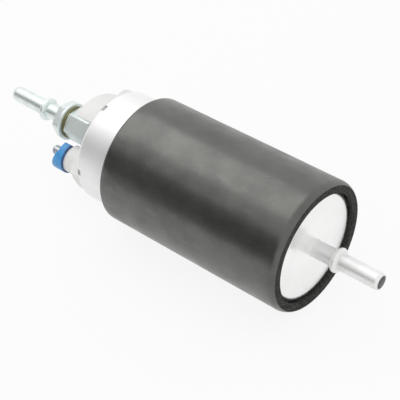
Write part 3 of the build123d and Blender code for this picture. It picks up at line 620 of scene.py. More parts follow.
def surface(
    name,
    light,
    dark,
    roughness,
    metallic=0.0,
    clouds=60.0,
    grain=900.0,
    depth=0.01,
    rings=0.0,
    ring_depth=0.0,
    coat=0.0,
    specular=0.5,
    scuff=0.25,
    ior=1.5,
    tinge=(1.0, 1.0, 1.0),
    bore=0.0,
):
    """A material whose colour and gloss vary with handling, with a grain and turning marks."""
    material = bpy.data.materials.new(name)
    material.use_nodes = True
    nodes, links = material.node_tree.nodes, material.node_tree.links
    shader = nodes["Principled BSDF"]
    shader.inputs["Metallic"].default_value = metallic
    shader.inputs["Coat Weight"].default_value = coat
    shader.inputs["Coat Roughness"].default_value = COAT_ROUGHNESS
    shader.inputs["Specular IOR Level"].default_value = specular
    shader.inputs["Specular Tint"].default_value = (*tinge, 1)
    shader.inputs["IOR"].default_value = ior
    where = nodes.new("ShaderNodeTexCoord").outputs["Object"]
    handling = place_group(nodes, links, "handling", where, clouds)
    blend = maths(nodes, "MULTIPLY_ADD", scuff)
    links.new(handling.outputs["Scuffs"], blend.inputs[0])
    links.new(handling.outputs["Clouds"], blend.inputs[2])
    colour = nodes.new("ShaderNodeMix")
    colour.data_type = "RGBA"
    colour.inputs["A"].default_value = (*dark, 1)
    colour.inputs["B"].default_value = (*light, 1)
    links.new(blend.outputs["Value"], colour.inputs["Factor"])
    tone = colour.outputs["Result"]
    # Painted shade: faces nearer the axis than the bore radius take a darker tone, standing in for
    # the shade inside a tube's bore
    if bore:
        inside = place_group(nodes, links, "inside", where, bore * MM, "Radius")
        shadowed = nodes.new("ShaderNodeMix")
        shadowed.data_type = "RGBA"
        shadowed.inputs["B"].default_value = (*[BORE_PAINTED_SHADE * part for part in dark], 1)
        links.new(inside.outputs["Mask"], shadowed.inputs["Factor"])
        links.new(tone, shadowed.inputs["A"])
        tone = shadowed.outputs["Result"]
    links.new(tone, shader.inputs["Base Color"])
    gloss = nodes.new("ShaderNodeMapRange")
    gloss.inputs["To Min"].default_value = roughness[0]
    gloss.inputs["To Max"].default_value = roughness[1]
    links.new(blend.outputs["Value"], gloss.inputs["Value"])
    links.new(gloss.outputs["Result"], shader.inputs["Roughness"])
    fine = place_group(nodes, links, "grain", where, grain)
    relief = nodes.new("ShaderNodeBump")
    relief.inputs["Distance"].default_value = depth * MM
    links.new(fine.outputs["Height"], relief.inputs["Height"])
    if ring_depth:
        marks = place_group(nodes, links, "turning", where, rings)
        lines = nodes.new("ShaderNodeBump")
        lines.inputs["Distance"].default_value = ring_depth * MM
        links.new(marks.outputs["Rings"], lines.inputs["Height"])
        links.new(relief.outputs["Normal"], lines.inputs["Normal"])
        relief = lines
    links.new(relief.outputs["Normal"], shader.inputs["Normal"])
    return material


def finish_values(looks):
    """The two tones, gloss, patches, grain and turning marks of each finish, and for tubes the
    bore radius inside which shade is painted.
    """
    return {
        "foam": dict(
            light=looks.foam, dark=looks.foam_shade, roughness=(0.36, 0.26), clouds=85, grain=1400,
            depth=0.03, specular=1.0, scuff=0.7, ior=1.6, tinge=(0.97, 0.975, 0.925),
        ),
        "cut_foam": dict(
            light=(0.075, 0.075, 0.07), dark=(0.018, 0.018, 0.018), roughness=(0.95, 0.8),
            clouds=900, grain=1800, depth=0.2, specular=0.2, scuff=0.6,
        ),
        "drawn_aluminium": dict(
            light=looks.can, dark=looks.can_shade, roughness=(0.56, 0.48), metallic=0.78,
            clouds=30, grain=500, depth=0.004, rings=1800, ring_depth=0.002,
        ),
        "bright_cap": dict(
            light=(0.95, 0.945, 0.94), dark=(0.88, 0.875, 0.87), roughness=(0.3, 0.24), metallic=1,
            clouds=30, grain=500, depth=0.004, rings=900, ring_depth=0.002, scuff=0.08,
        ),
        "plated_tube": dict(
            light=(0.92, 0.92, 0.92), dark=(0.85, 0.85, 0.84), roughness=(0.48, 0.4),
            metallic=0.68, clouds=150, grain=900, depth=0.003, rings=2500, ring_depth=0.003,
            # The bore radius, inside which shade is painted
            bore=TUBE_BORE + BORE_DEPTH,
        ),
        "zinc_plate": dict(
            light=looks.zinc, dark=looks.zinc_shade, roughness=(0.5, 0.4), metallic=0.62,
            clouds=220, grain=2200, depth=0.006, rings=2500, ring_depth=0.003,
        ),
        "zinc_tube": dict(
            light=looks.zinc, dark=looks.zinc_shade, roughness=(0.4, 0.32), metallic=0.76,
            clouds=220, grain=2200, depth=0.006, rings=2500, ring_depth=0.003,
            # The bore radius, inside which shade is painted
            bore=TUBE_BORE + BORE_DEPTH,
        ),
        "olive_washer": dict(
            light=(0.32, 0.31, 0.15), dark=(0.14, 0.13, 0.06), roughness=(0.5, 0.35),
            metallic=0.75, clouds=180, grain=2000, depth=0.008,
        ),
        "natural_plastic": dict(
            light=looks.cover, dark=looks.cover_shade, roughness=(0.42, 0.34), clouds=70,
            grain=1200, depth=0.006,
        ),
        "blue_plastic": dict(
            light=looks.cup, dark=looks.cup_shade, roughness=(0.34, 0.26), clouds=160, grain=1500,
            depth=0.005,
        ),
        # Painted shade: a darker blue for the cup's foot, standing in for the shade where the cup
        # meets its tower
        "blue_foot_painted_shade": dict(
            light=(0.035, 0.11, 0.27), dark=(0.022, 0.075, 0.2), roughness=(0.4, 0.3), clouds=160,
            grain=1500, depth=0.005,
        ),
        "white_plastic": dict(
            light=(0.8, 0.8, 0.78), dark=(0.7, 0.7, 0.67), roughness=(0.42, 0.32), clouds=160,
            grain=1500, depth=0.005,
        ),
        "stud_steel": dict(
            light=(0.88, 0.88, 0.87), dark=(0.7, 0.7, 0.7), roughness=(0.42, 0.32), metallic=0.85,
            clouds=260, grain=2500, depth=0.004,
        ),
        "cast_aluminium": dict(
            light=(0.62, 0.62, 0.62), dark=(0.48, 0.48, 0.48), roughness=(0.5, 0.36), metallic=1,
            clouds=120, grain=1800, depth=0.012, rings=1500, ring_depth=0.006,
        ),
        "sintered_steel": dict(
            light=(0.34, 0.34, 0.34), dark=(0.22, 0.22, 0.22), roughness=(0.5, 0.38), metallic=1,
            clouds=200, grain=3800, depth=0.012,
        ),
        "dark_steel": dict(
            light=(0.1, 0.1, 0.105), dark=(0.05, 0.05, 0.055), roughness=(0.46, 0.34),
            metallic=0.9, clouds=220, grain=2600, depth=0.006,
        ),
        "spring_steel": dict(
            light=(0.55, 0.55, 0.56), dark=(0.38, 0.38, 0.39), roughness=(0.34, 0.24), metallic=1,
            clouds=400, grain=3000, depth=0.003,
        ),
        "shaft_steel": dict(
            light=(0.66, 0.66, 0.67), dark=(0.52, 0.52, 0.53), roughness=(0.24, 0.14), metallic=1,
            clouds=160, grain=2000, depth=0.002, rings=5000, ring_depth=0.003,
        ),
        "bronze": dict(
            light=(0.52, 0.31, 0.12), dark=(0.34, 0.19, 0.07), roughness=(0.48, 0.34), metallic=1,
            clouds=260, grain=4200, depth=0.012,
        ),
        "copper": dict(
            light=(0.86, 0.42, 0.26), dark=(0.6, 0.27, 0.16), roughness=(0.34, 0.2), metallic=1,
            clouds=260, grain=2400, depth=0.004, rings=6000, ring_depth=0.004,
        ),
        "enamelled_copper": dict(
            light=(0.5, 0.16, 0.05), dark=(0.28, 0.07, 0.02), roughness=(0.3, 0.2), metallic=0.55,
            clouds=240, grain=2600, depth=0.006, coat=0.6,
        ),
        "laminated_steel": dict(
            light=(0.42, 0.42, 0.43), dark=(0.26, 0.26, 0.27), roughness=(0.46, 0.34), metallic=1,
            clouds=160, grain=2400, depth=0.006, rings=2000, ring_depth=0.05,
        ),
        "ferrite": dict(
            light=(0.07, 0.07, 0.072), dark=(0.035, 0.035, 0.036), roughness=(0.6, 0.48),
            clouds=160, grain=3200, depth=0.014,
        ),
        "carbon": dict(
            light=(0.06, 0.06, 0.06), dark=(0.025, 0.025, 0.025), roughness=(0.62, 0.5),
            metallic=0.2, clouds=300, grain=4200, depth=0.014,
        ),
        "dark_plastic": dict(
            light=(0.045, 0.045, 0.047), dark=(0.025, 0.025, 0.026), roughness=(0.46, 0.36),
            clouds=120, grain=1700, depth=0.008,
        ),
        "brown_plastic": dict(
            light=(0.2, 0.09, 0.04), dark=(0.12, 0.05, 0.02), roughness=(0.46, 0.36), clouds=160,
            grain=1900, depth=0.006,
        ),
        "seal_rubber": dict(
            light=(0.03, 0.03, 0.03), dark=(0.015, 0.015, 0.015), roughness=(0.5, 0.38),
            clouds=180, grain=1600, depth=0.004,
        ),
        "mesh_plastic": dict(
            light=(0.68, 0.68, 0.62), dark=(0.5, 0.5, 0.44), roughness=(0.5, 0.38), clouds=140,
            grain=5200, depth=0.03,
        ),
    }


def finish_named(name):
    """The material of a finish, made when first asked for."""
    if name not in Workshop.materials:
        values = finish_values(bpy.context.scene.pump_looks)[name]
        Workshop.materials[name] = surface(name, **values)
    return Workshop.materials[name]


# Settings


def length(name, description, default):
    """A length in millimetres that a user can change."""
    return FloatProperty(name=name, description=description, default=default, min=0.0)


def tint(name, description, default):
    """A linear colour that a user can change."""
    return FloatVectorProperty(
        name=name, description=description, default=default, subtype="COLOR", min=0.0, max=1.0
    )


class PumpShape(bpy.types.PropertyGroup):
    """Edges and skin of the dressed pieces, in millimetres."""

    sleeve_edge: length("Sleeve edge", "Rounding of the foam sleeve's outlet end", 1.4)
    sleeve_wave: length("Sleeve wave", "How far the foam's skin waves in and out", 0.14)
    can_corner: length("Can corner", "Rounding of the can's closed end", 4.5)
    lip_corner: length("Lip corner", "Rounding of the can's rolled lip", 2.0)
    tube_edge: length("Tube edge", "Chamfer of a tube's tip", 0.5)
    hex_edge: length("Hexagon edge", "How far hexagon corners are turned down", 0.6)


class PumpLooks(bpy.types.PropertyGroup):
    """Colours of the finishes that show most."""

    foam: tint("Foam", "Foam rubber where it is rubbed", (0.045, 0.0445, 0.042))
    foam_shade: tint("Foam shade", "Foam rubber where it is clean", (0.013, 0.013, 0.012))
    can: tint("Can", "Drawn aluminium", (0.93, 0.93, 0.93))
    can_shade: tint("Can shade", "Drawn aluminium in its duller patches", (0.88, 0.88, 0.88))
    zinc: tint("Zinc", "Zinc plate", (0.87, 0.93, 0.91))
    zinc_shade: tint("Zinc shade", "Zinc plate in its duller patches", (0.74, 0.81, 0.79))
    cover: tint("Cover", "Natural plastic of the terminal cover", (0.86, 0.855, 0.84))
    cover_shade: tint("Cover shade", "Natural plastic in its duller patches", (0.79, 0.785, 0.77))
    cup: tint("Cup", "Blue plastic of the terminal cup", (0.08, 0.36, 0.72))
    cup_shade: tint("Cup shade", "Blue plastic in its duller patches", (0.05, 0.27, 0.62))


class PumpStudio(bpy.types.PropertyGroup):
    """The studio's light and lens."""

    key: FloatProperty(
        name="Key", description="Power of the large softbox", default=1.5, unit="POWER"
    )
    fill: FloatProperty(
        name="Fill", description="Light of the room on matt surfaces", default=0.8, min=0.0
    )
    lens: FloatProperty(
        name="Lens", description="Focal length of the camera", default=108.0, unit="CAMERA"
    )


# Pieces


class PUMP_OT_sleeve(bpy.types.Operator):
    """Turns the foam rubber sleeve, closes its inlet end in and waves its skin"""

    bl_idname = "pump.sleeve"
    bl_label = "Foam sleeve"

    def execute(self, context):
        shape = context.scene.pump_shape
        low, high = ends("foam_sleeve")
        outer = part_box("foam_sleeve")[1].z / MM
        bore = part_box("pump_can")[1].z / MM + SLEEVE_GAP
        mouth = bore - MOUTH_OVERLAP
        roll = high - ROLL_LENGTH
        side = [
            (low + (roll - low) * i / SLEEVE_STEPS, outer) for i in range(SLEEVE_STEPS + 1)
        ]
        for i in range(1, ROLL_STEPS + 1):
            share = i / ROLL_STEPS
            side.append((roll + ROLL_LENGTH * share, outer - ROLL_DROP * share ** 3))
        profile = [(low, bore)] + side + [(high, mouth), (high - MOUTH_LENGTH, bore)]
        sleeve = turned("foam_sleeve_skin", profile, SLEEVE_SIDES)
        round_rings(sleeve, [(low, outer)], shape.sleeve_edge, segments=4)
        cut_rings = [(high, outer - ROLL_DROP), (high, mouth)]
        round_rings(sleeve, cut_rings, CUT_EDGE, segments=2)
        activate(sleeve)
        skin = sleeve.vertex_groups.new(name="Skin")
        outside = [v.index for v in sleeve.data.vertices if from_axis(v.co) > outer - SKIN_DEPTH]
        skin.add(outside, 1.0, "REPLACE")
        clouds = bpy.data.textures.new("Sleeve wave", "CLOUDS")
        clouds.noise_scale = WAVE_LENGTH * MM
        wave = sleeve.modifiers.new("Wave", "DISPLACE")
        wave.texture = clouds
        wave.texture_coords = "GLOBAL"
        wave.vertex_group = skin.name
        wave.strength = shape.sleeve_wave * MM
        wave.mid_level = 1.0
        bpy.ops.object.modifier_apply(modifier=wave.name)

        def is_cut(face):
            return abs(face.normal.x) > CUT_FACING or from_axis(face.center) < bore + BORE_DEPTH

        finish_piece(sleeve, "foam", "foam_sleeve", angle=40)
        second_finish(sleeve, "cut_foam", is_cut)
        return {"FINISHED"}


class PUMP_OT_can(bpy.types.Operator):
    """Turns the drawn can with its rounded ends and cuts the crimp windows in its shoulder"""

    bl_idname = "pump.can"
    bl_label = "Can"

    def execute(self, context):
        shape = context.scene.pump_shape
        lip, end = ends("pump_can")
        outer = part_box("pump_can")[1].z / MM
        inner, neck = outer - CAN_WALL, outer - LIP_WIDTH
        floor = end - CAN_FLOOR
        can = turned(
            "pump_can_shell",
            [
                (lip, neck),
                (lip, outer),
                (end, outer),
                (end, TUBE),
                (floor, TUBE),
                (floor, inner),
                (lip + CAN_WALL, inner),
                (lip + CAN_WALL, neck),
            ],
            CAN_SIDES,
        )
        round_rings(can, [(end, outer)], shape.can_corner, segments=8)
        round_rings(can, [(floor, inner)], shape.can_corner - CAN_WALL, segments=6)
        round_rings(can, [(lip, outer)], shape.lip_corner, segments=6)
        round_rings(can, [(lip + CAN_WALL, inner)], shape.lip_corner - CAN_WALL, segments=4)
        round_rings(can, [(lip, neck)], LIP_EDGE)
        for i in range(WINDOW_COUNT):
            angle = WINDOW_ANGLE + 360 * i / WINDOW_COUNT
            cut(can, block("window", WINDOW_SIZE, lip + WINDOW_FROM_LIP, outer, angle))
        finish_piece(can, "drawn_aluminium", "pump_can")
        second_finish(can, "bright_cap", lambda face: face.normal.x > CAP_FACING)
        return {"FINISHED"}


def bead_profile(bead_x, way):
    """The points of a bead's half round from root to tip."""
    points = []
    for i in range(BEAD_STEPS + 1):
        angle = pi * i / BEAD_STEPS
        along = bead_x - way * BEAD_WIDTH / 2 * cos(angle)
        points.append((along, TUBE + (BEAD - TUBE) * sin(angle)))
    return points


class PUMP_OT_tubes(bpy.types.Operator):
    """Turns the two beaded tubes with their chamfered tips"""

    bl_idname = "pump.tubes"
    bl_label = "Beaded tubes"

    def execute(self, context):
        edge = context.scene.pump_shape.tube_edge
        root, tip = ends("inlet_tube")
        face = ends("pump_can")[1]
        bead = ends("foam_sleeve")[1] + INLET_BEAD_FROM_SLEEVE
        lead_in = TIP_TAPER * edge
        flange = root + INLET_FLANGE_THICKNESS
        tip_rings = [(tip - lead_in, TUBE), (tip, TUBE - edge), (tip, TUBE_BORE)]
        inlet = turned(
            "inlet_tube_beaded",
            [(root, TUBE_BORE), (root, INLET_FLANGE), (flange, INLET_FLANGE), (flange, TUBE),
             (face, TUBE), (face, INLET_COLLAR), (face + INLET_COLLAR_LENGTH, TUBE)]
            + bead_profile(bead, 1)
            + tip_rings,
            TUBE_SIDES,
        )
        round_rings(inlet, tip_rings, TIP_EDGE, segments=2)
        finish_piece(inlet, "plated_tube", "inlet_tube")
        tip, root = ends("outlet_tube")
        bead = ends("outlet_nut")[0] - OUTLET_BEAD_FROM_NUT
        tip_rings = [(tip + lead_in, TUBE), (tip, TUBE - edge), (tip, TUBE_BORE)]
        outlet = turned(
            "outlet_tube_beaded",
            [(root, TUBE_BORE), (root, TUBE)] + bead_profile(bead, -1) + tip_rings,
            TUBE_SIDES,
        )
        round_rings(outlet, tip_rings, TIP_EDGE, segments=2)
        finish_piece(outlet, "zinc_tube", "outlet_tube")
        return {"FINISHED"}


class PUMP_OT_valve(bpy.types.Operator):
    """Shapes the check valve's hexagon, the crush washer and the flanged outlet nut"""

    bl_idname = "pump.valve"
    bl_label = "Valve and nut"

    def execute(self, context):
        edge = context.scene.pump_shape.hex_edge
        face, inner = ends("valve_body")
        seat = inner - VALVE_THREAD_LENGTH
        socket = face + NUT_SOCKET_DEPTH
        chamber = face + VALVE_CHAMBER_LENGTH
        body = hex_bar("valve_hexagon", VALVE_FLATS, VALVE_ANGLE, seat, seat - face, edge)
        thread = turned(
            "valve_thread",
            [(seat - OVERCUT, VALVE_THREAD), (inner, VALVE_THREAD)],
            BORE_SIDES,
            solid=True,
        )
        cut(body, thread, "UNION")
        bore = turned(
            "valve_bore",
            [(face - OVERCUT, NUT_THREAD), (socket, NUT_THREAD), (socket, VALVE_CHAMBER),
             (chamber, VALVE_CHAMBER), (chamber, VALVE_PORT), (inner + OVERCUT, VALVE_PORT)],
            BORE_SIDES,
            solid=True,
        )
        cut(body, bore)
        soften(body, VALVE_EDGE)
        finish_piece(body, "zinc_plate", "valve_body")

        low, high = ends("crush_washer")
        hole = NUT_THREAD + WASHER_GAP
        washer = turned(
            "crush_washer_ring",
            [(low, hole), (low, WASHER), (high, WASHER), (high, hole)],
            RING_SIDES,
        )
        round_rings(washer, [(low, WASHER), (high, WASHER)], WASHER_EDGE)
        finish_piece(washer, "olive_washer", "crush_washer")

        end, start = ends("outlet_nut")
        flange = low - NUT_FLANGE_THICKNESS
        nut = hex_bar(
            "outlet_nut_flanged", NUT_FLATS, NUT_ANGLE, flange + BITE, NUT_HEX_LENGTH + BITE, edge
        )
        turned_part = turned(
            "nut_turned",
            [(start, NUT_THREAD), (low, NUT_THREAD), (low, NUT_FLANGE), (flange, NUT_FLANGE),
             (flange, NUT_NECK), (end + NUT_CONE, NUT_NECK), (end, TUBE + NUT_MOUTH)],
            RING_SIDES,
            solid=True,
        )
        flange_rings = [(low, NUT_FLANGE), (flange, NUT_FLANGE)]
        round_rings(turned_part, flange_rings, NUT_FLANGE_EDGE)
        cut(nut, turned_part, "UNION")
        stop = end + NUT_TUBE_DEPTH
        bore = turned(
            "nut_bore",
            [(end - OVERCUT, TUBE), (stop, TUBE), (stop, TUBE_BORE), (start + OVERCUT, TUBE_BORE)],
            BORE_SIDES,
            solid=True,
        )
        cut(nut, bore)
        soften(nut, NUT_EDGE)
        finish_piece(nut, "zinc_plate", "outlet_nut")
        return {"FINISHED"}


def threaded_stud(name, node, radius, seat_x):
    """A stud with its head, shank and chamfered tip, joined with the ridge of its thread."""
    middle = centre(node)
    tip, head = ends(node)
    low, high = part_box(node)
    head_radius = (high.y - low.y) / 2 / MM
    shank = radius + SHANK_STEP
    under_head = head - STUD_HEAD_HEIGHT
    stud = turned(
        name,
        [(head, head_radius), (under_head, head_radius), (under_head, shank), (seat_x, shank),
         (seat_x, radius - THREAD_ROOT), (tip + STUD_TIP_LENGTH, radius - THREAD_ROOT),
         (tip, radius - STUD_TIP_DROP)],
        STUD_SIDES,
        middle,
        solid=True,
    )
    begin()
    bpy.ops.mesh.primitive_circle_add(
        vertices=3,
        radius=THREAD_RIDGE * MM,
        location=((tip + THREAD_START) * MM, middle[0] * MM, middle[1] * MM),
    )
    ridge = bpy.context.object
    edit_all()
    bpy.ops.transform.translate(value=(0, (radius - THREAD_RIDGE) * MM, 0))
    bpy.ops.object.mode_set(mode="OBJECT")
    screw = ridge.modifiers.new("Thread", "SCREW")
    screw.axis = "X"
    screw.screw_offset = THREAD_PITCH * MM
    screw.iterations = int((seat_x - tip - THREAD_ENDS) / THREAD_PITCH)
    screw.steps = screw.render_steps = THREAD_STEPS
    bpy.ops.object.modifier_apply(modifier=screw.name)
    apply_place(ridge)
    edit_all()
    bpy.ops.mesh.remove_doubles(threshold=TINY)
    bpy.ops.mesh.fill_holes(sides=0)
    tidy_shell(ridge)
    stud = join([stud, ridge], name)
    finish_piece(stud, "stud_steel", node)


class PUMP_OT_terminals(bpy.types.Operator):
    """Shapes the blue cup, the white collar and the two threaded studs"""

    bl_idname = "pump.terminals"
    bl_label = "Terminals"

    def execute(self, context):
        low, top = ends("live_insulator")
        middle = centre("live_stud")
        radius = CUP_RADIUS
        floor = top - CUP_BASE
        shank = LIVE_STUD + SHANK_STEP
        cup = turned(
            "live_cup",
            [(top, shank), (top, radius - CUP_FOOT / 2), (top - CUP_FOOT, radius), (low, radius),
             (low, radius - CUP_WALL), (floor, radius - CUP_WALL), (floor, shank)],
            RING_SIDES,
            middle,
        )
        # The cutters are wider than the cup, so that they pass right through its walls
        reach = sqrt(middle[0] ** 2 + middle[1] ** 2)
        wide, across = 2 * radius, 3 * radius
        flat = block(
            "flat", (2 * wide, wide, across), low, reach - CUP_FLAT - radius, TERMINAL_ANGLE
        )
        cut(cup, flat)
        near = top - CUP_LOW_SIDE
        step = block(
            "step", (wide, wide, across), near - radius, reach - radius, TERMINAL_ANGLE
        )
        cut(cup, step)
        lean = -atan2(near - low, radius)
        slope = sqrt((near - low) ** 2 + radius ** 2) + radius / 2
        ramp_x = near + sin(lean) * slope / 2 - cos(lean) * radius
        ramp_reach = reach + cos(lean) * slope / 2 + sin(lean) * radius
        wedge = block(
            "wedge", (wide, slope, across), ramp_x, ramp_reach, TERMINAL_ANGLE, degrees(lean)
        )
        cut(cup, wedge)
        soften(cup, CUP_EDGE, angle=35.0, segments=3)
        finish_piece(cup, "blue_plastic", "live_insulator")
        # Painted shade: the faces at the cup's foot take the darker blue, for the shade beside the
        # tower
        second_finish(cup, "blue_foot_painted_shade", lambda face: face.center.x / MM > top - CUP_FOOT)
        threaded_stud("live_stud_threaded", "live_stud", LIVE_STUD, floor)

        low, high = ends("earth_insulator")
        middle = centre("earth_stud")
        shank = EARTH_STUD + SHANK_STEP
        collar = turned(
            "earth_collar",
            [(low, shank), (low, EARTH_COLLAR), (high, EARTH_COLLAR), (high, shank)],
            BORE_SIDES,
            middle,
        )
        round_rings(collar, [(low, EARTH_COLLAR)], EARTH_COLLAR_EDGE, middle=middle)
        finish_piece(collar, "white_plastic", "earth_insulator")
        threaded_stud("earth_stud_threaded", "earth_stud", EARTH_STUD, low)
        return {"FINISHED"}


def wound_spring(name, node, along):
    """A spring of round wire that fills a CAD node's box along X (0) or Z (2)."""
    low, high = (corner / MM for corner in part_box(node))
    radius = (high.y - low.y) / 2 - SPRING_WIRE
    rise = high[along] - low[along] - 2 * SPRING_WIRE
    begin()
    bpy.ops.mesh.primitive_circle_add(
        vertices=WIRE_SIDES,
        radius=SPRING_WIRE * MM,
        location=(radius * MM, 0, 0),
        rotation=(pi / 2, 0, 0),
    )
    spring = bpy.context.object
    spring.name = name
    apply_place(spring)
    screw = spring.modifiers.new("Winding", "SCREW")
    screw.axis = "Z"
    screw.angle = 2 * pi * SPRING_TURNS[node]
    screw.screw_offset = rise * MM
    screw.steps = screw.render_steps = int(WINDING_STEPS * SPRING_TURNS[node])
    bpy.ops.object.modifier_apply(modifier=screw.name)
    edit_all()
    bpy.ops.mesh.fill_holes(sides=0)
    tidy_shell(spring)
    if along == 0:
        spring.rotation_euler.y = pi / 2
    start = (low + high) / 2
    start[along] = low[along] + SPRING_WIRE
    spring.location = start * MM
    apply_place(spring)
    return spring


class PUMP_OT_springs(bpy.types.Operator):
    """Winds the four springs"""

    bl_idname = "pump.springs"
    bl_label = "Springs"

    def execute(self, context):
        for joint in frame["record"]["behaviour"]["joints"]:
            for row in joint.get("deforming_nodes", ()):
                node, letter = row["node"], row["mode"][-1]
                along = "xyz".index(letter)
                low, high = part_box(node)
                spring = wound_spring(node + "_wound", node, along)
                finish_piece(spring, "spring_steel", node, angle=60)
                anchor = (low + high) / 2
                anchor[along] = row["fixed_end_" + letter + "_m"]
                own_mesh(spring)
        return {"FINISHED"}


class PUMP_OT_finishes(bpy.types.Operator):
    """Gives every CAD node that stays the finish of its material slot"""

    bl_idname = "pump.finishes"
    bl_label = "Finishes"

    def execute(self, context):
        slots = {row["node"]: row["material_slot"] for row in frame["record"]["subparts"]}
        for name, node in frame["nodes"].items():
            if node.hide_render:
                continue
            node.data.materials.clear()
            node.data.materials.append(finish_named(slots[name]))
        return {"FINISHED"}


# Studio


def aim(thing, place):
    """Puts a lamp or a card at a place and turns it to face the pump."""
    thing.location = place
    thing.rotation_euler = place.to_track_quat("Z", "Y").to_euler()


def softbox(name, way, distance, size, power):
    """An area lamp that faces the pump, at a distance in one direction."""
    lamp = bpy.data.lights.new(name, "AREA")
    lamp.shape = "RECTANGLE"
    lamp.size, lamp.size_y = size
    lamp.energy = power
    thing = bpy.data.objects.new(name, lamp)
    bpy.context.scene.collection.objects.link(thing)
    aim(thing, Vector(way).normalized() * distance)


def dark_card(name, size, place, flock):
    """A black card at a place, facing the pump, that shows only in what mirrors it."""
    begin()
    bpy.ops.mesh.primitive_plane_add(size=1)
    card = bpy.context.object
    card.name = name
    card.scale = (*size, 1)
    aim(card, place)
    card.visible_camera = False
    card.visible_shadow = False
    card.visible_diffuse = False
    card.data.materials.append(flock)
    card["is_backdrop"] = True
    return card


def seen_white(nodes, links):
    """A factor of 1 for camera, glossy and transmission rays, and of 0 for the others."""
    path = nodes.new("ShaderNodeLightPath")
    first = maths(nodes, "MAXIMUM")
    links.new(path.outputs["Is Camera Ray"], first.inputs[0])
    links.new(path.outputs["Is Glossy Ray"], first.inputs[1])
    second = maths(nodes, "MAXIMUM")
    links.new(first.outputs["Value"], second.inputs[0])
    links.new(path.outputs["Is Transmission Ray"], second.inputs[1])
    return second.outputs["Value"]


def white_room(scene, fill):
    """A world that shows white and lights matt surfaces with the fill."""
    world = bpy.data.worlds.new("White room")
    world.use_nodes = True
    scene.world = world
    nodes, links = world.node_tree.nodes, world.node_tree.links
    strength = nodes.new("ShaderNodeMapRange")
    strength.inputs["To Min"].default_value = fill
    strength.inputs["To Max"].default_value = 1.0
    links.new(seen_white(nodes, links), strength.inputs["Value"])
    links.new(strength.outputs["Result"], nodes["Background"].inputs["Strength"])
    nodes["Background"].inputs["Color"].default_value = (1, 1, 1, 1)


def white_floor(height):
    """A round floor of white paper, which keeps the pump's shadow."""
    begin()
    bpy.ops.mesh.primitive_circle_add(
        vertices=RING_SIDES, radius=FLOOR_RADIUS, fill_type="NGON", location=(0, 0, height)
    )
    floor = bpy.context.object
    floor.name = "floor"
    paper = bpy.data.materials.new("White paper")
    paper.use_nodes = True
    nodes, links = paper.node_tree.nodes, paper.node_tree.links
    matt = nodes["Principled BSDF"]
    matt.inputs["Base Color"].default_value = PAPER
    matt.inputs["Roughness"].default_value = PAPER_ROUGHNESS
    matt.inputs["Specular IOR Level"].default_value = PAPER_SPECULAR
    glow = nodes.new("ShaderNodeEmission")
    mix = nodes.new("ShaderNodeMixShader")
    share = maths(nodes, "MULTIPLY", FLOOR_GLOW)
    links.new(seen_white(nodes, links), share.inputs[0])
    links.new(share.outputs["Value"], mix.inputs["Fac"])
    links.new(matt.outputs["BSDF"], mix.inputs[1])
    links.new(glow.outputs["Emission"], mix.inputs[2])
    links.new(mix.outputs["Shader"], nodes["Material Output"].inputs["Surface"])
    floor.data.materials.append(paper)
    floor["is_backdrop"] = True


def dark_cards(floor_height):
    """An upright card and one flat on the floor, which the sleeve mirrors as its dark band."""
    flock = bpy.data.materials.new("Black flock")
    flock.use_nodes = True
    flock.node_tree.nodes["Principled BSDF"].inputs["Base Color"].default_value = FLOCK
    dark_card("dark_card", CARD_SIZE, Vector(CARD_WAY).normalized() * CARD_DISTANCE, flock)
    along = Vector(MAT_WAY)
    across = Vector((-along.y, along.x, 0))
    start = Vector((MAT_START, 0, floor_height + MAT_LIFT))
    middle = start + along * MAT_DISTANCE + across * MAT_SIZE[0] / 2
    mat = dark_card("dark_mat", MAT_SIZE, middle, flock)
    mat.rotation_euler = (0, 0, atan2(along.x, -along.y))


def camera_view(scene, lens):
    """The camera, where the photograph was taken from."""
    camera = bpy.data.cameras.new("camera")
    camera.lens = lens
    camera.sensor_width = SENSOR_WIDTH
    camera.clip_start = CLIP_START
    view = bpy.data.objects.new("camera", camera)
    scene.collection.objects.link(view)
    turn = Matrix((CAMERA_RIGHT, CAMERA_UP, CAMERA_BACK)).transposed().to_4x4()
    view.matrix_world = Matrix.Translation(CAMERA_PLACE) @ turn
    scene.camera = view


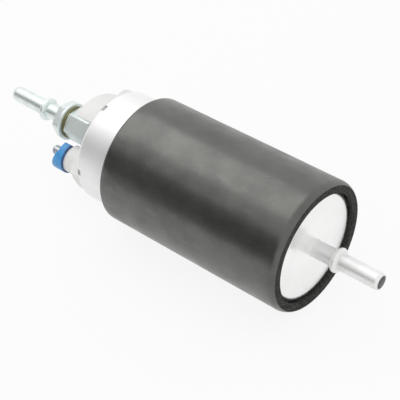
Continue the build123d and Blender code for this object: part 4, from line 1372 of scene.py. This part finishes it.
class PUMP_OT_studio(bpy.types.Operator):
    """Sets the white room and floor, the softbox, the dark cards and the camera"""

    bl_idname = "pump.studio"
    bl_label = "Studio"

    def execute(self, context):
        studio = context.scene.pump_studio
        context.scene.view_settings.view_transform = "Standard"
        white_room(context.scene, studio.fill)
        floor_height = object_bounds()[0][2]
        white_floor(floor_height)
        softbox("key softbox", SOFTBOX_WAY, SOFTBOX_DISTANCE, SOFTBOX_SIZE, studio.key)
        dark_cards(floor_height)
        camera_view(context.scene, studio.lens)
        return {"FINISHED"}


class PUMP_PT_panel(bpy.types.Panel):
    """Lists the pump's sizes, colours and steps"""

    bl_label = "Fuel pump"
    bl_space_type = "VIEW_3D"
    bl_region_type = "UI"
    bl_category = "Fuel pump"

    def draw(self, context):
        for group in (
            context.scene.pump_shape, context.scene.pump_looks, context.scene.pump_studio
        ):
            for name in group.__annotations__:
                self.layout.prop(group, name)
        for step in STEPS:
            self.layout.operator(step.bl_idname)


STEPS = (
    PUMP_OT_studio,
    PUMP_OT_sleeve,
    PUMP_OT_can,
    PUMP_OT_tubes,
    PUMP_OT_valve,
    PUMP_OT_terminals,
    PUMP_OT_springs,
    PUMP_OT_finishes,
)
CLASSES = (PumpShape, PumpLooks, PumpStudio) + STEPS + (PUMP_PT_panel,)


def register():
    for item in CLASSES:
        bpy.utils.register_class(item)
    bpy.types.Scene.pump_shape = PointerProperty(type=PumpShape)
    bpy.types.Scene.pump_looks = PointerProperty(type=PumpLooks)
    bpy.types.Scene.pump_studio = PointerProperty(type=PumpStudio)


def unregister():
    del bpy.types.Scene.pump_studio
    del bpy.types.Scene.pump_looks
    del bpy.types.Scene.pump_shape
    for item in reversed(CLASSES):
        bpy.utils.unregister_class(item)


def main():
    """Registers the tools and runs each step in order."""
    register()
    bpy.ops.pump.studio()
    bpy.ops.pump.sleeve()
    bpy.ops.pump.can()
    bpy.ops.pump.tubes()
    bpy.ops.pump.valve()
    bpy.ops.pump.terminals()
    bpy.ops.pump.springs()
    bpy.ops.pump.finishes()


if __name__ == "__main__":
    main()
